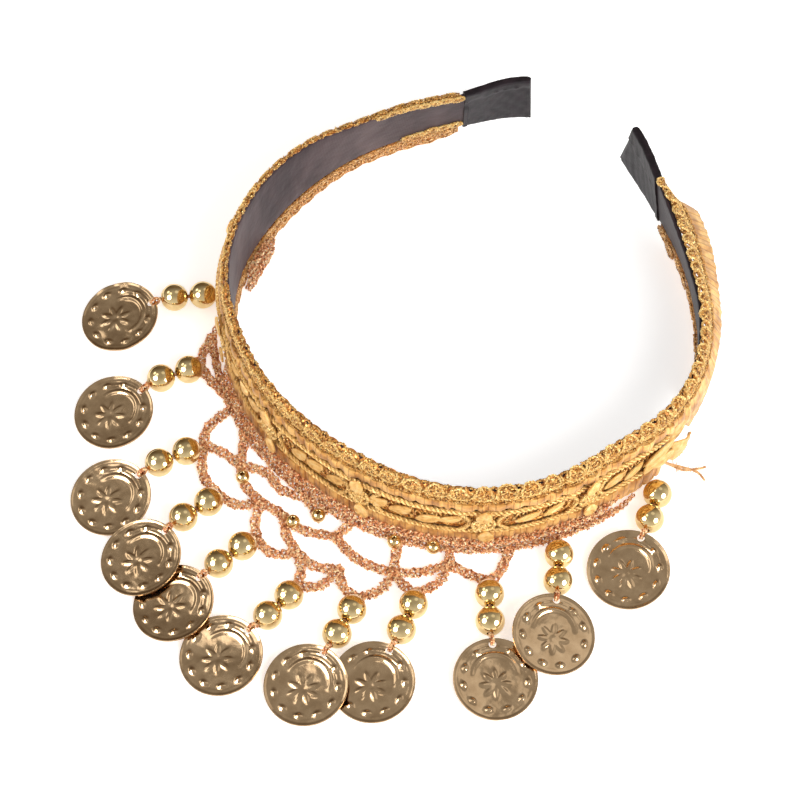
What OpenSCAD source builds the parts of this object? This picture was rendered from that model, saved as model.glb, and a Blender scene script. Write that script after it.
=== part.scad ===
// Coin headband: a springy horseshoe band that stands on its lower edge, dressed with rows of gold
// trim, with a crocheted net at its foot and eleven drops of two beads and a coin laid on the table.
// X runs to the wearer's right as worn here, Y from the crown of the band to its open end, Z up.
// The origin is the middle of the head space on the surface the band stands on.

/* [Band] */
// Thickness of the springy strip with its satin cover
core_t = 1.1; // [1:0.1:1.8]
// Height of the strip's lower edge above the table
core_foot = 6.4; // [5:0.2:8]
// Height of the strip's upper edge above the table
core_top = 27.6; // [24:0.2:30]
// How much narrower each edge is at the two ends
core_taper = 1.6; // [0:0.1:2]
// Length of each end, in degrees of the band, that is wrapped in tape
tape_span = 15; // [12:1:18]
// Thickness of the wrapped tape
tape_t = 0.6; // [0.5:0.1:1]
// How much further the right end's lower edge runs than its upper one, in degrees of the band
right_slant = 4.2; // [0:0.2:5]

/* [Trim] */
// Gap between the strip and the trim sewn to it
sew_gap = 0.2; // [0.2:0.05:0.4]
// Height of the top of the looped edging
trim_top = 28.3; // [26:0.1:30]
// Height where the looped edging meets the upper ribbon
edging_foot = 22.4; // [21:0.1:24]
// Height where the upper ribbon meets the upper cord
ribbon_foot = 18.6; // [17:0.1:20]
// Diameter of the upper twisted cord
cord_upper_d = 1.5; // [1.2:0.1:2]
// Diameter of the lower twisted cord
cord_lower_d = 1.3; // [1.1:0.1:1.8]
// Height of the lower ribbon
ribbon_low_h = 6.6; // [5:0.1:7]
// Thickness of the two flat ribbons
ribbon_t = 1.7; // [1:0.1:2.4]
// Thickness of the sunk glitter channel
channel_t = 0.9; // [0.6:0.1:1.4]
// Thickness of the looped edging
edging_t = 1.1; // [1:0.1:1.6]
// Width of one scallop of the edging, in degrees of the band
scallop_step = 5; // [4:0.5:8]
// Depth of the dip between two scallops
scallop_dip = 1.1; // [0.5:0.1:1.6]

/* [Net] */
// Thickness of a crocheted strand
strand_d = 2.4; // [1.8:0.1:2.8]
// Diameter of the small beads in the net
net_bead_d = 3.2; // [2.8:0.1:4]

/* [Drops] */
// Diameter of a coin
coin_d = 20; // [18:0.5:22]
// Thickness of a coin's sheet
coin_t = 0.7; // [0.5:0.1:1]
// Diameter of the hole in a coin
coin_hole_d = 1.8; // [1.4:0.1:2]
// Height of the raised work on a coin
relief_h = 0.3; // [0.2:0.05:0.5]
// Diameter of a large bead
bead_d = 6.8; // [6:0.1:7]
// Distance between the two beads of a drop
bead_pitch = 7.3; // [7.1:0.1:8]
// Diameter of a bead's bore
bore_d = 1.7; // [1.5:0.1:2]
// Diameter of the thread that carries a drop
thread_d = 1.1; // [0.8:0.1:1.3]
// Distance from the outer bead to the middle of the coin
coin_reach = 14.6; // [14.5:0.1:16]

/* [Hidden] */
DROPS = 11;
function two(i) = str(i < 10 ? "0" : "", i);

gold = "goldenrod";
pale_gold = "khaki";
rose = "rosybrown";
brass = "darkgoldenrod";

// The plan of the band, a row every 15 degrees from one end to the other. 0 is the crown, and the
// wearer's right is positive. Columns: inner radius at the table, inner radius at the top, how far
// the trim bellies out from the strip.
plan_step = 15;
plan_first = -165;
R_FOOT = 0;
R_TOP = 1;
FLARE = 2;
plan = [
    [67.0, 62.2, 0.0],
    [63.5, 55.4, 0.0],
    [61.4, 53.8, 0.0],
    [60.6, 53.8, 0.0],
    [59.4, 56.8, 0.0],
    [59.4, 58.9, 0.3],
    [60.5, 60.1, 1.2],
    [60.4, 60.6, 0.7],
    [59.8, 59.8, 0.0],
    [59.0, 59.6, 0.0],
    [58.4, 59.5, 0.0],
    [58.5, 60.2, 0.0],
    [58.7, 61.8, 0.0],
    [58.7, 62.7, 0.0],
    [58.1, 61.7, 0.0],
    [57.5, 59.4, 0.0],
    [58.3, 60.1, 0.4],
    [58.4, 58.6, 1.4],
    [57.5, 55.3, 2.9],
    [56.8, 52.0, 4.3],
    [57.0, 51.3, 5.6],
    [57.8, 54.0, 4.6],
    [61.3, 60.4, 0.0],
    [69.0, 67.5, 0.0]];

// A smooth curve through the rows of the plan
function spline(a, b, c, d, t) =
    b + t * (c - a) / 2 + t * t * (a - 2.5 * b + 2 * c - d / 2) + t * t * t * (3 * (b - c) + d - a) / 2;
function plan_row(i, col) = plan[min(max(i, 0), len(plan) - 1)][col];
function plan_at(a, col) =
    let (s = (a - plan_first) / plan_step, i = floor(s))
    spline(plan_row(i - 1, col), plan_row(i, col), plan_row(i + 1, col), plan_row(i + 2, col), s - i);
function inner_r(a, z) = let (f = z / core_top) plan_at(a, R_FOOT) * (1 - f) + plan_at(a, R_TOP) * f;
function wall(a, z) = inner_r(a, z) * [sin(a), -cos(a)];
// A point that stands off the strip's inner face by off, at angle a and height z
function off_wall(a, off, z) =
    let (d = wall(a + 1, z) - wall(a - 1, z), n = [d.y, -d.x] / norm(d), p = wall(a, z) + off * n)
    [p.x, p.y, z];

// Where the trim begins and ends, and how its foot rises to the strip's width at the two ends
trim_from = -149;
trim_to = 149;
trim_close = 7;
function near_end(a) =
    let (d = min(a - trim_from, trim_to - a) / trim_close, t = min(max(d, 0), 1)) 1 - t * t * (3 - 2 * t);
// Height on the trim at angle a of what lies at height z along most of the band
end_foot = core_foot + core_taper + 0.4;
end_top = core_top - core_taper + 0.4;
function trim_z(a, z) =
    let (e = near_end(a), at_end = end_foot + z / trim_top * (end_top - end_foot)) z * (1 - e) + at_end * e;
// Where the trim bellies out it does so at the upper ribbon's foot, and below that it tucks in again.
// Columns: height, share of the belly
flare_rows = [[0, 0.35], [9, 0.6], [ribbon_foot, 1], [edging_foot, 0.45], [trim_top, 0]];
function trim_off(a, off, z) = off + plan_at(a, FLARE) * lookup(z, flare_rows) * (1 - near_end(a));
function on_trim(a, off, z) = off_wall(a, trim_off(a, off, z), trim_z(a, z));
sewn = core_t + sew_gap;

// A closed skin over rings of points, each ring one section of the piece
module skin(rings) {
    n = len(rings[0]);
    m = len(rings);
    polyhedron(
        points = [for (r = rings) for (p = r) p],
        faces = concat(
            [[for (j = [0:n - 1]) j]],
            [for (i = [0:m - 2]) for (j = [0:n - 1])
                let (k = (j + 1) % n) [i * n + j, (i + 1) * n + j, (i + 1) * n + k, i * n + k]],
            [[for (j = [n - 1:-1:0]) (m - 1) * n + j]]));
}

// The strip: widest at the crown, a little narrower at its two ends
core_step = 2.5;
core_end = 165;
tape_from = core_end - tape_span;
function core_lo(a) = core_foot + core_taper * pow(abs(a) / core_end, 3);
function core_hi(a) = core_top - core_taper * pow(abs(a) / core_end, 3);
// How far the lower edge runs on past the upper one, which it does only near the right end
function slant(a) = right_slant * max(0, (a - tape_from) / tape_span);
function core_section(a, grow) =
    let (foot = a + slant(a))
    [off_wall(foot, -grow, core_lo(a) - grow), off_wall(a, -grow, core_hi(a) + grow),
     off_wall(a, core_t + grow, core_hi(a) + grow), off_wall(foot, core_t + grow, core_lo(a) - grow)];
module band_core() {
    color("slategray")
    skin([for (a = [-core_end:core_step:core_end]) core_section(a, 0)]);
}

// A sleeve of tape wrapped round one end of the strip and closed over its tip
tape_gap = 0.2;
tape_tip = 1;
tape_turns = 6;
module tape(side) {
    color("dimgray")
    difference() {
        skin([for (i = [0:tape_turns])
            core_section(side * (core_end + tape_tip - (side > 0 ? tape_turns - i : i)
                * (tape_span + tape_tip) / tape_turns), tape_t)]);
        skin([for (i = [0:tape_turns])
            core_section(side * (core_end + 0.3 - (side > 0 ? tape_turns - i : i)
                * (tape_span + 2) / tape_turns), tape_gap)]);
    }
}

// A row of trim: a strip of constant section between two heights
trim_step = 4.98;
row_angles = [for (a = [trim_from:trim_step:trim_to + 0.1]) min(a, trim_to)];
// The rows below the upper ribbon end here on the right, where that ribbon widens and goes on alone
braid_to = 77;
braid_angles = [for (a = row_angles) if (a < braid_to) a];
module row(z0, z1, thick) {
    skin([for (a = braid_angles)
        [on_trim(a, sewn, z0), on_trim(a, sewn, z1), on_trim(a, sewn + thick, z1),
         on_trim(a, sewn + thick, z0)]]);
}
row_gap = 0.15;
ribbon_low_t = ribbon_t + 0.3;
cord_upper_z = ribbon_foot - cord_upper_d / 2;
cord_lower_z = ribbon_low_h + cord_lower_d / 2;
channel_lo = cord_lower_z + cord_lower_d / 2 + row_gap;
channel_hi = cord_upper_z - cord_upper_d / 2 - row_gap;
widen_from = 84;
module ribbon_upper() {
    fold = ribbon_foot + row_gap;
    top = edging_foot - row_gap;
    color(gold)
    skin([for (a = row_angles)
        let (wide = a > widen_from, z = [wide ? channel_lo : fold, wide ? fold : (fold + top) / 2, top])
        [on_trim(a, sewn, z[0]), on_trim(a, sewn, z[1]), on_trim(a, sewn, z[2]),
         on_trim(a, sewn + ribbon_t, z[2]), on_trim(a, sewn + ribbon_t, z[1]),
         on_trim(a, sewn + ribbon_t, z[0])]]);
}
module ribbon_lower() {
    color(gold) row(0, ribbon_low_h - row_gap, ribbon_low_t);
}
module channel() {
    color(pale_gold) row(channel_lo, channel_hi, channel_t);
}

// A twisted cord laid along the band
cord_sides = 6;
module cord_row(z, d) {
    skin([for (a = braid_angles)
        [for (j = [0:cord_sides - 1])
            let (t = -360 * j / cord_sides + 30)
            on_trim(a, sewn + d / 2 + d / 2 * sin(t), z + d / 2 * cos(t))]]);
}
module cord_upper() {
    color(pale_gold) cord_row(cord_upper_z, cord_upper_d);
}
module cord_lower() {
    color(pale_gold) cord_row(cord_lower_z, cord_lower_d);
}

// Edging whose free edge runs in scallops. The upper one leans in over the strip's upper edge.
scallop_points = 4;
edging_angles = [for (a = [trim_from:scallop_step / scallop_points:trim_to]) a];
function scallop(a) = scallop_dip * (1 - abs(sin(180 * (a - trim_from) / scallop_step)));
lip_in = 0.4;
lip_top = trim_top - core_top;
module edging_top() {
    color(gold)
    skin([for (a = edging_angles)
        let (lip = scallop(a) - lip_in, lo = core_hi(a) + sew_gap, hi = core_hi(a) + lip_top)
        [on_trim(a, sewn, edging_foot), off_wall(a, sewn, lo), off_wall(a, lip, lo), off_wall(a, lip, hi),
         off_wall(a, sewn + edging_t, hi), on_trim(a, sewn + edging_t, edging_foot)]]);
}
// The lower edging hangs from the strip's lower edge inside the trim, with a bare stretch between
// the braid's end and the right arm
foot_edging_in = 0.1;
foot_edging_t = 1.1;
foot_edging_rise = 3;
foot_edging_spans = [[trim_from, braid_to], [95, trim_to]];
module edging_foot() {
    color(gold)
    for (span = foot_edging_spans)
        skin([for (a = edging_angles) if (a >= span[0] && a <= span[1])
            let (lo = 0.1 + scallop(a) / 2 + foot_edging_rise * near_end(a), hi = core_lo(a) - 2 * sew_gap)
            [off_wall(a, -foot_edging_in, lo), off_wall(a, -foot_edging_in, hi),
             off_wall(a, foot_edging_t - foot_edging_in, hi),
             off_wall(a, foot_edging_t - foot_edging_in, lo)]]);
}

// Small slanted leaves of ribbon that lie in the channel between the knots
knot_angles = [-134, -107, -80, -53, -26, 1, 29, 53];
leaf_step = 5.5;
leaf_w = 2.6;
leaf_l = 5.4;
leaf_t = 0.7;
leaf_slant = 38;
leaf_gap = 0.4;
channel_mid = (channel_lo + channel_hi) / 2;
function clear_of_knots(a) = min([for (k = knot_angles) abs(a - k)]) > 4;
// Turns a flat shape so that it lies on the trim at angle a and height z, off mm from the strip
module lay_on_trim(a, off, z) {
    p = on_trim(a, off, z);
    d = on_trim(a + 1, off, z) - on_trim(a - 1, off, z);
    u = on_trim(a, off, z + 1) - on_trim(a, off, z - 1);
    x = d / norm(d);
    n = cross(u, x) / norm(cross(u, x));
    v = cross(x, n);
    multmatrix([[x.x, v.x, -n.x, p.x], [x.y, v.y, -n.y, p.y], [x.z, v.z, -n.z, p.z], [0, 0, 0, 1]])
    children();
}
module channel_leaves() {
    color(pale_gold)
    for (a = [trim_from + 6:leaf_step:braid_to - 4]) if (clear_of_knots(a))
        lay_on_trim(a, sewn + channel_t + leaf_gap, channel_mid)
        rotate([0, 0, leaf_slant])
        scale([leaf_l / 2, leaf_w / 2, leaf_t])
        linear_extrude(1) circle(1, $fn = 6);
}

// Folded ribbon loops that cross the channel from the upper ribbon to the lower one
knot_w = 3.2;
knot_t = 0.8;
knot_off = sewn + max(ribbon_low_t, cord_upper_d) + 0.15;
module ribbon_knots() {
    color(gold)
    for (a = knot_angles)
        skin([for (z = [3.4, 9, 13.6, ribbon_foot, 20.6])
            let (w = knot_w * (z > 6 && z < 15 ? 0.7 : 1), h = w / 2)
            [on_trim(a - h, knot_off, z), on_trim(a + h, knot_off, z),
             on_trim(a + h, knot_off + knot_t, z), on_trim(a - h, knot_off + knot_t, z)]]);
}

// The braid's loose end, where the lower ribbon is turned out in a flap. Columns: angle, how far it
// stands off, height of its lower and of its upper edge.
tail_t = 0.7;
tail_rows = [
    [75.6, 0.9, 6.4, 14.0],
    [78, 2.2, 3.8, 12.6],
    [80.5, 2.9, 4.6, 11.0],
    [83.5, 2.3, 7.4, 9.4]];
module ribbon_tail() {
    color(gold)
    skin([for (row = tail_rows)
        let (a = row[0], off = sewn + row[1])
        [on_trim(a, off, row[2]), on_trim(a, off, row[3]), on_trim(a, off + tail_t, row[3]),
         on_trim(a, off + tail_t, row[2])]]);
}

// The crocheted net. Its header is the chain that runs along the foot of the trim, and each other
// strand is a short row of points (x, y) on the table.
header_off = sewn + ribbon_low_t + 0.8 + strand_d / 2;
header_from = -65;
header_to = 66.8;
header_runs = 22;
strand_z = strand_d / 2;
function head(a) = let (p = off_wall(a, trim_off(a, header_off, 0), 0)) [p.x, p.y];
strands = [
    [head(-61), [-56.6, -40.2], [-53.2, -43.6], head(-44)],
    [head(-41), [-44.6, -56.6], [-43.4, -61.9]],
    [head(-35), [-34.6, -56.8], [-32.2, -62.8]],
    [[-43.4, -61.9], [-37.6, -61.6], [-32.2, -62.8]],
    [[-43.4, -61.9], [-38.6, -69.6], [-31.8, -72.8]],
    [[-31.8, -72.8], [-26.8, -72.8], [-22.6, -69.6]],
    [[-32.2, -62.8], [-28.6, -67.0], [-22.6, -69.6]],
    [[-32.2, -62.8], [-25.4, -61.6], [-19.8, -64.2], [-13.2, -63.6], [-8.0, -66.8]],
    [[-22.6, -69.6], [-20.8, -75.4], [-17.8, -79.4]],
    [[-22.6, -69.6], [-16.0, -70.4], [-12.6, -74.6], [-7.6, -77.8]],
    [[-16.0, -70.4], [-9.6, -71.6], [-1.8, -69.6]],
    [[-17.8, -79.4], [-12.6, -80.6], [-7.6, -77.8]],
    [[-7.6, -77.8], [-4.6, -81.4], [-3.6, -85.6]],
    [[-7.6, -77.8], [-2.2, -79.0], [3.2, -77.0]],
    [[-3.6, -85.6], [1.4, -83.2], [3.2, -77.0]],
    [[3.2, -77.0], [6.6, -80.8], [10.8, -81.8]],
    [[10.8, -81.8], [14.6, -77.4], [15.2, -71.8]],
    [[-1.8, -69.6], [4.6, -72.2], [9.6, -72.6], [15.2, -71.8]],
    [[15.2, -71.8], [19.0, -73.6], [22.4, -74.2]],
    [[22.4, -74.2], [25.8, -69.4], [26.0, -63.4]],
    [[15.2, -71.8], [20.8, -68.6], [26.0, -63.4]],
    [[26.0, -63.4], [31.4, -63.6], [36.0, -63.2]],
    [head(35), [37.6, -59.8], [36.0, -63.2]],
    [head(45.5), [46.4, -45.9]],
    [head(-7), [-8.0, -66.8]],
    [head(0), [-1.8, -69.6]],
    [head(22), [26.0, -63.4]],
    [head(11), [13.6, -67.6], [15.2, -71.8]]];
net_bead_at = [[-29.6, -66.0], [-12.6, -71.2], [-8.0, -66.8], [11.6, -64.6], [20.6, -61.6]];
net_bead_z = strand_d - 0.1;
module net_bead(x, y, grow) {
    translate([x, y, net_bead_z]) sphere(d = net_bead_d + 2 * grow, $fn = 10);
}
module strand(a, b) {
    hull() {
        translate([a.x, a.y, strand_z]) sphere(d = strand_d, $fn = 6);
        translate([b.x, b.y, strand_z]) sphere(d = strand_d, $fn = 6);
    }
}
module net() {
    header = [for (i = [0:header_runs]) head(header_from + i * (header_to - header_from) / header_runs)];
    color(rose)
    difference() {
        for (s = concat([header], strands)) for (i = [0:len(s) - 2]) strand(s[i], s[i + 1]);
        for (p = net_bead_at) net_bead(p.x, p.y, 0.2);
    }
}
module net_beads() {
    color(brass)
    for (p = net_bead_at)
        difference() {
            translate([p.x, p.y, net_bead_z]) sphere(d = net_bead_d, $fn = 32);
            translate([p.x, p.y, net_bead_z - 2]) cylinder(d = 1, h = 4, $fn = 24);
        }
}
// The chain's tail, tucked under the strip inside the band
tab_in = 2.2;
module net_tab() {
    tab = [for (a = [-90, -86, -81, -76, -72]) off_wall(a, -tab_in + (a == -90 || a == -72 ? 0.7 : 0), 0)];
    color(rose)
    for (i = [0:len(tab) - 2]) for (lift = [0, strand_d * 0.9])
        hull() for (k = [i, i + 1])
            translate([tab[k].x, tab[k].y, strand_z + lift]) sphere(d = strand_d, $fn = 6);
}

// The drops, a row for each. Columns: place of the inner bead, the way the two beads run, the way
// the coin lies from them, how far its near side and its right side are raised, and how high its
// lowest point lies.
X = 0;
Y = 1;
RUN = 2;
COIN = 3;
TILT = 4;
ROLL = 5;
LIFT = 6;
drop_rows = [
    [-65.2, -24.2, 214, 229, 12, 0, 0],
    [-56.8, -45.6, 229, 247, 10, 0, 0],
    [-45.1, -66.6, 235, 247, 11, -2, 0],
    [-33.0, -76.6, 244, 257, 11.6, 6.4, 0.5],
    [-19.6, -83.4, 249, 253, 11.4, 7, 0.1],
    [-3.2, -89.8, 256, 251, 11, 0, 0],
    [11.8, -86.2, 270, 269, 11, 0, 0],
    [24.0, -78.2, 275, 271, 10, 0, 0],
    [38.6, -67.2, 298, 302, 10, -3, 0],
    [48.4, -49.8, 294, 292, 9.4, -12, 1],
    [62.1, -23.5, 280, 275, 12, 0, 0]];
bead_z = bead_d / 2;
coin_r = coin_d / 2;
hole_in = 1.5;
function heading(a) = [cos(a), sin(a), 0];
function inner_bead(i) = [drop_rows[i][X], drop_rows[i][Y], bead_z];
function outer_bead(i) = inner_bead(i) + bead_pitch * heading(drop_rows[i][RUN]);
function coin_rise(i) =
    let (up = cos(drop_rows[i][TILT]) * cos(drop_rows[i][ROLL]))
    drop_rows[i][LIFT] + coin_r * sqrt(1 - up * up) + coin_t / 2 * up;
function coin_middle(i) =
    let (o = outer_bead(i), h = heading(drop_rows[i][COIN])) [o.x, o.y, coin_rise(i)] + coin_reach * h;
module coin_frame(i) {
    translate(coin_middle(i)) rotate([0, 0, drop_rows[i][COIN]]) rotate([0, drop_rows[i][TILT], 0])
    rotate([drop_rows[i][ROLL], 0, 0])
    children();
}
// A point of the coin's own plane, x mm from its middle along its run, in the headband's frame
function coin_point(i, x) =
    let (t = drop_rows[i][TILT], h = heading(drop_rows[i][COIN]))
    coin_middle(i) + x * (cos(t) * h - [0, 0, sin(t)]);

module bead(p, run) {
    color(brass)
    translate(p) rotate([0, 90, run])
    difference() {
        sphere(d = bead_d, $fn = 32);
        cylinder(d = bore_d, h = bead_d + 1, center = true, $fn = 32);
    }
}

// A pressed coin: a thin disc with a raised rim, a crescent, a ring of raised dots and a plain
// eight-rayed star in the middle
rim_w = 0.5;
dots = 10;
dot_r = 0.65;
dot_top_r = 0.3;
dot_h = 0.45;
dot_ring = 7.6;
rays = 8;
ray_out = 2.3;
ray_in = 1.1;
crescent_r = 4.2;
crescent_w = 0.8;
crescent_at = 2.2;
crescent_arc = 150;
star = [for (k = [0:2 * rays - 1])
    let (r = k % 2 == 0 ? ray_out : ray_in, t = 180 * k / rays) r * [cos(t), sin(t)]];
module blank() {
    face = coin_t / 2;
    rotate_extrude($fn = 96)
    polygon([[0, -face], [coin_r, -face], [coin_r, face + relief_h], [coin_r - rim_w, face + relief_h],
             [coin_r - rim_w, face], [0, face]]);
}
module coin(i) {
    color(brass)
    coin_frame(i)
    difference() {
        union() {
            blank();
            for (k = [1:dots])
                rotate([0, 0, 180 + 360 * k / (dots + 1)])
                translate([dot_ring, 0, 0])
                cylinder(r1 = dot_r, r2 = dot_top_r, h = coin_t / 2 + dot_h, $fn = 20);
            translate([-crescent_at, 0, 0])
            rotate([0, 0, 180 - crescent_arc / 2])
            rotate_extrude(angle = crescent_arc, $fn = 64)
            translate([crescent_r, 0]) square([crescent_w, coin_t / 2 + relief_h]);
            linear_extrude(coin_t / 2 + relief_h) polygon(star);
        }
        translate([-(coin_r - hole_in), 0, -2]) cylinder(d = coin_hole_d, h = 4, $fn = 24);
    }
}

// The thread of a drop: from the net through both beads, then a ring through the coin's hole
ring_r = 1.15;
ring_t = 0.3;
ring_stem = 0.4;
module rod(a, b, r) {
    d = b - a;
    translate(a) rotate([0, acos(d.z / norm(d)), atan2(d.y, d.x)]) cylinder(r = r, h = norm(d), $fn = 24);
}
// How far a thread runs on from its inner bead: the first drop hangs from the ribbon, not the net
function lead_in(i) = i == 0 ? 1.5 : 0.25;
module drop_thread(i) {
    run = heading(drop_rows[i][RUN]);
    into = inner_bead(i) - (bead_d / 2 + lead_in(i)) * run;
    out = outer_bead(i) + (bead_d / 2 + 0.35) * run;
    ring_end = coin_point(i, -(coin_r - hole_in) - 2 * ring_r);
    rod(into, out, thread_d / 2);
    rod(out - ring_stem * run, ring_end, ring_t - 0.06);
    coin_frame(i)
    translate([-(coin_r - hole_in) - ring_r, 0, 0])
    rotate([90, 0, 0])
    rotate_extrude($fn = 32) translate([ring_r, 0]) circle(r = ring_t, $fn = 16);
}
module drop_threads() {
    color("saddlebrown")
    for (i = [0:DROPS - 1]) drop_thread(i);
}

band_core();
tape(-1);  // tape_left
tape(1);  // tape_right
edging_top();
ribbon_upper();
cord_upper();
channel();
channel_leaves();
cord_lower();
ribbon_lower();
ribbon_knots();
ribbon_tail();
edging_foot();
net();
net_tab();
net_beads();
drop_threads();
for (i = [0:DROPS - 1]) {
    bead(inner_bead(i), drop_rows[i][RUN]);
    bead(outer_bead(i), drop_rows[i][RUN]);
    coin(i);
}
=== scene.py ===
import math

import bpy
import numpy as np
from mathutils import Matrix, Vector


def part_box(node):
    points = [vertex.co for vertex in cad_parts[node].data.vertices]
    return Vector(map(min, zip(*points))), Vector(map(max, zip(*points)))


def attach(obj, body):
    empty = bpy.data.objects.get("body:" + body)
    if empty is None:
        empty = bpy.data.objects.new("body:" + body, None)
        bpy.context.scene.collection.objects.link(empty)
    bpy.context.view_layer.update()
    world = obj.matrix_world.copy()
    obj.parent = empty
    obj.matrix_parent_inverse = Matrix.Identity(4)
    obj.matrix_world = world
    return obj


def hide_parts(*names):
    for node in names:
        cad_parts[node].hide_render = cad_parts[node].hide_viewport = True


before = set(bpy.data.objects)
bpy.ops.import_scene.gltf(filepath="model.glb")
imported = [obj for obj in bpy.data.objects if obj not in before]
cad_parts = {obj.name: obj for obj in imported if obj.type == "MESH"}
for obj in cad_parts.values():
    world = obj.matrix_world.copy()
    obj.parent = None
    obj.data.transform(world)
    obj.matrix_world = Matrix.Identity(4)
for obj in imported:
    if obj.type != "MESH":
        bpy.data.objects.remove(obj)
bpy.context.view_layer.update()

# The strip. A thin springy plastic band covered in grey-mauve satin, which is turned over its
# edges and glued. Its plan is a row every 15 degrees, from one end to just past the other: 0 is the
# crown, and the angle grows towards +X. Sizes are in millimetres and become metres in the mesh.
MM = 0.001
PLAN_FIRST = -165
PLAN_STEP = 15
FOOT, TOP, FLARE = 0, 1, 2
# Columns: inner radius at the table, inner radius at the top, how far the trim bellies out
PLAN = np.array([
    [67.0, 62.2, 0.0],
    [63.5, 55.4, 0.0],
    [61.4, 53.8, 0.0],
    [60.6, 53.8, 0.0],
    [59.4, 56.8, 0.0],
    [59.4, 58.9, 0.3],
    [60.5, 60.1, 1.2],
    [60.4, 60.6, 0.7],
    [59.8, 59.8, 0.0],
    [59.0, 59.6, 0.0],
    [58.4, 59.5, 0.0],
    [58.5, 60.2, 0.0],
    [58.7, 61.8, 0.0],
    [58.7, 62.7, 0.0],
    [58.1, 61.7, 0.0],
    [57.5, 59.4, 0.0],
    [58.3, 60.1, 0.4],
    [58.4, 58.6, 1.4],
    [57.5, 55.3, 2.9],
    [56.8, 52.0, 4.3],
    [57.0, 51.3, 5.6],
    [57.8, 54.0, 4.6],
    [61.3, 60.4, 0.0],
    [69.0, 67.5, 0.0]])
STRIP_T = 1.1
STRIP_FOOT = 6.4
STRIP_TOP = 27.6
STRIP_TAPER = 1.6
STRIP_END = 165
TAPE_SPAN = 15
TAPE_FROM = STRIP_END - TAPE_SPAN
RIGHT_SLANT = 4.2
STRIP_RINGS = 361
PUCKER = 0.05
# Painted shade: across X, from the first of these two places to the second, the satin is darkened towards
# its darkest tone, so that the lining of the right arm reads dark
PAINTED_SHADE_FROM = 0
PAINTED_SHADE_TO = 55
SATIN_PAINTED_SHADE = (28, 20, 24)
SATIN_SHADE = (58, 45, 48)
SATIN_LIGHT = (87, 71, 72)


def smooth(before, start, end, after, t):
    """A smooth curve from start to end, t of the way along, that heeds the points on both sides"""
    bend = t * t * (before - 2.5 * start + 2 * end - after / 2)
    return start + t * (end - before) / 2 + bend + t ** 3 * (3 * (start - end) + after - before) / 2


def plan_at(angle, column):
    """A smooth curve through the rows of the plan"""
    place = (np.asarray(angle, float) - PLAN_FIRST) / PLAN_STEP
    row = np.floor(place).astype(int)
    near = (PLAN[np.clip(row + k, 0, len(PLAN) - 1), column] for k in (-1, 0, 1, 2))
    return smooth(*near, place - row)


def wall(angle, z):
    """Place in plan of the strip's inner face at an angle and a height"""
    up = z / STRIP_TOP
    radius = plan_at(angle, FOOT) * (1 - up) + plan_at(angle, TOP) * up
    turn = np.radians(angle)
    return np.stack([radius * np.sin(turn), -radius * np.cos(turn)], -1)


def unit(vectors):
    return vectors / np.maximum(np.linalg.norm(vectors, axis=-1, keepdims=True), 1e-9)


def outward(angle, z):
    """The way the strip's outer face looks, in plan"""
    ahead = wall(angle + 1, z) - wall(angle - 1, z)
    return unit(np.stack([ahead[..., 1], -ahead[..., 0]], -1))


def off_wall(angle, off, z):
    """Points that stand off the strip's inner face"""
    angle, off, z = np.broadcast_arrays(*(np.asarray(v, float) for v in (angle, off, z)))
    plan = wall(angle, z) + off[..., None] * outward(angle, z)
    return np.concatenate([plan, z[..., None]], -1)


def full_turn(count):
    """One full turn in that many even steps"""
    return 2 * np.pi * np.arange(count) / count


def run_along(path):
    """How far along a path each of its points lies"""
    return np.concatenate([[0], np.cumsum(np.linalg.norm(np.diff(path, axis=0), axis=1))])


def loft(rings, joined=False):
    """A closed skin over rings of points, with a grain that runs along them"""
    count, around = rings.shape[:2]
    i, j = np.meshgrid(np.arange(count if joined else count - 1), np.arange(around), indexing="ij")
    k, n = (j + 1) % around, (i + 1) % count
    faces = np.stack([i * around + j, i * around + k, n * around + k, n * around + j], -1)
    faces = faces.reshape(-1, 4).tolist()
    if not joined:
        faces.append(list(range(around - 1, -1, -1)))
        faces.append([(count - 1) * around + j for j in range(around)])
    along = run_along(rings.mean(1))[:, None]
    turn = full_turn(around)[None, :]
    grain = np.stack(np.broadcast_arrays(along, np.cos(turn), np.sin(turn)), -1)
    return rings.reshape(-1, 3), faces, grain.reshape(-1, 3)


def make_piece(name, parts, finish, crease=50):
    """One mesh from many skins, its edges kept crisp where they turn by more than the crease"""
    points, faces, start = [], [], 0
    for skin in parts:
        points.append(skin[0])
        faces += [[start + v for v in face] for face in skin[1]]
        start += len(skin[0])
    mesh = bpy.data.meshes.new(name)
    mesh.from_pydata((np.concatenate(points) * MM).tolist(), [], faces)
    mesh.polygons.foreach_set("use_smooth", np.ones(len(mesh.polygons), bool))
    mesh.set_sharp_from_angle(angle=math.radians(crease))
    grain = mesh.attributes.new("grain", "FLOAT_VECTOR", "POINT")
    grain.data.foreach_set("vector", np.concatenate([s[2] for s in parts]).astype(np.float32).ravel())
    mesh.materials.append(finish)
    piece = bpy.data.objects.new(name, mesh)
    bpy.context.scene.collection.objects.link(piece)
    return piece


def colour(tone):
    """A colour read off as 0 to 255, as light"""
    share = np.array(tone) / 255
    light = np.where(share <= 0.04045, share / 12.92, ((share + 0.055) / 1.055) ** 2.4)
    return (*light.tolist(), 1)


def new_finish(name, tone, metallic, roughness):
    finish = bpy.data.materials.new(name)
    finish.use_nodes = True
    shader = finish.node_tree.nodes["Principled BSDF"]
    shader.inputs["Base Color"].default_value = colour(tone)
    shader.inputs["Metallic"].default_value = metallic
    shader.inputs["Roughness"].default_value = roughness
    return finish, finish.node_tree, shader


def put(tree, kind, inputs=None, **settings):
    """Adds a node: a socket is given a value, or the output of another node"""
    node = tree.nodes.new("ShaderNode" + kind)
    for key, value in settings.items():
        setattr(node, key, value)
    for socket, value in (inputs or {}).items():
        if isinstance(value, bpy.types.NodeSocket):
            tree.links.new(value, node.inputs[socket])
        else:
            node.inputs[socket].default_value = value
    return node


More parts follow.
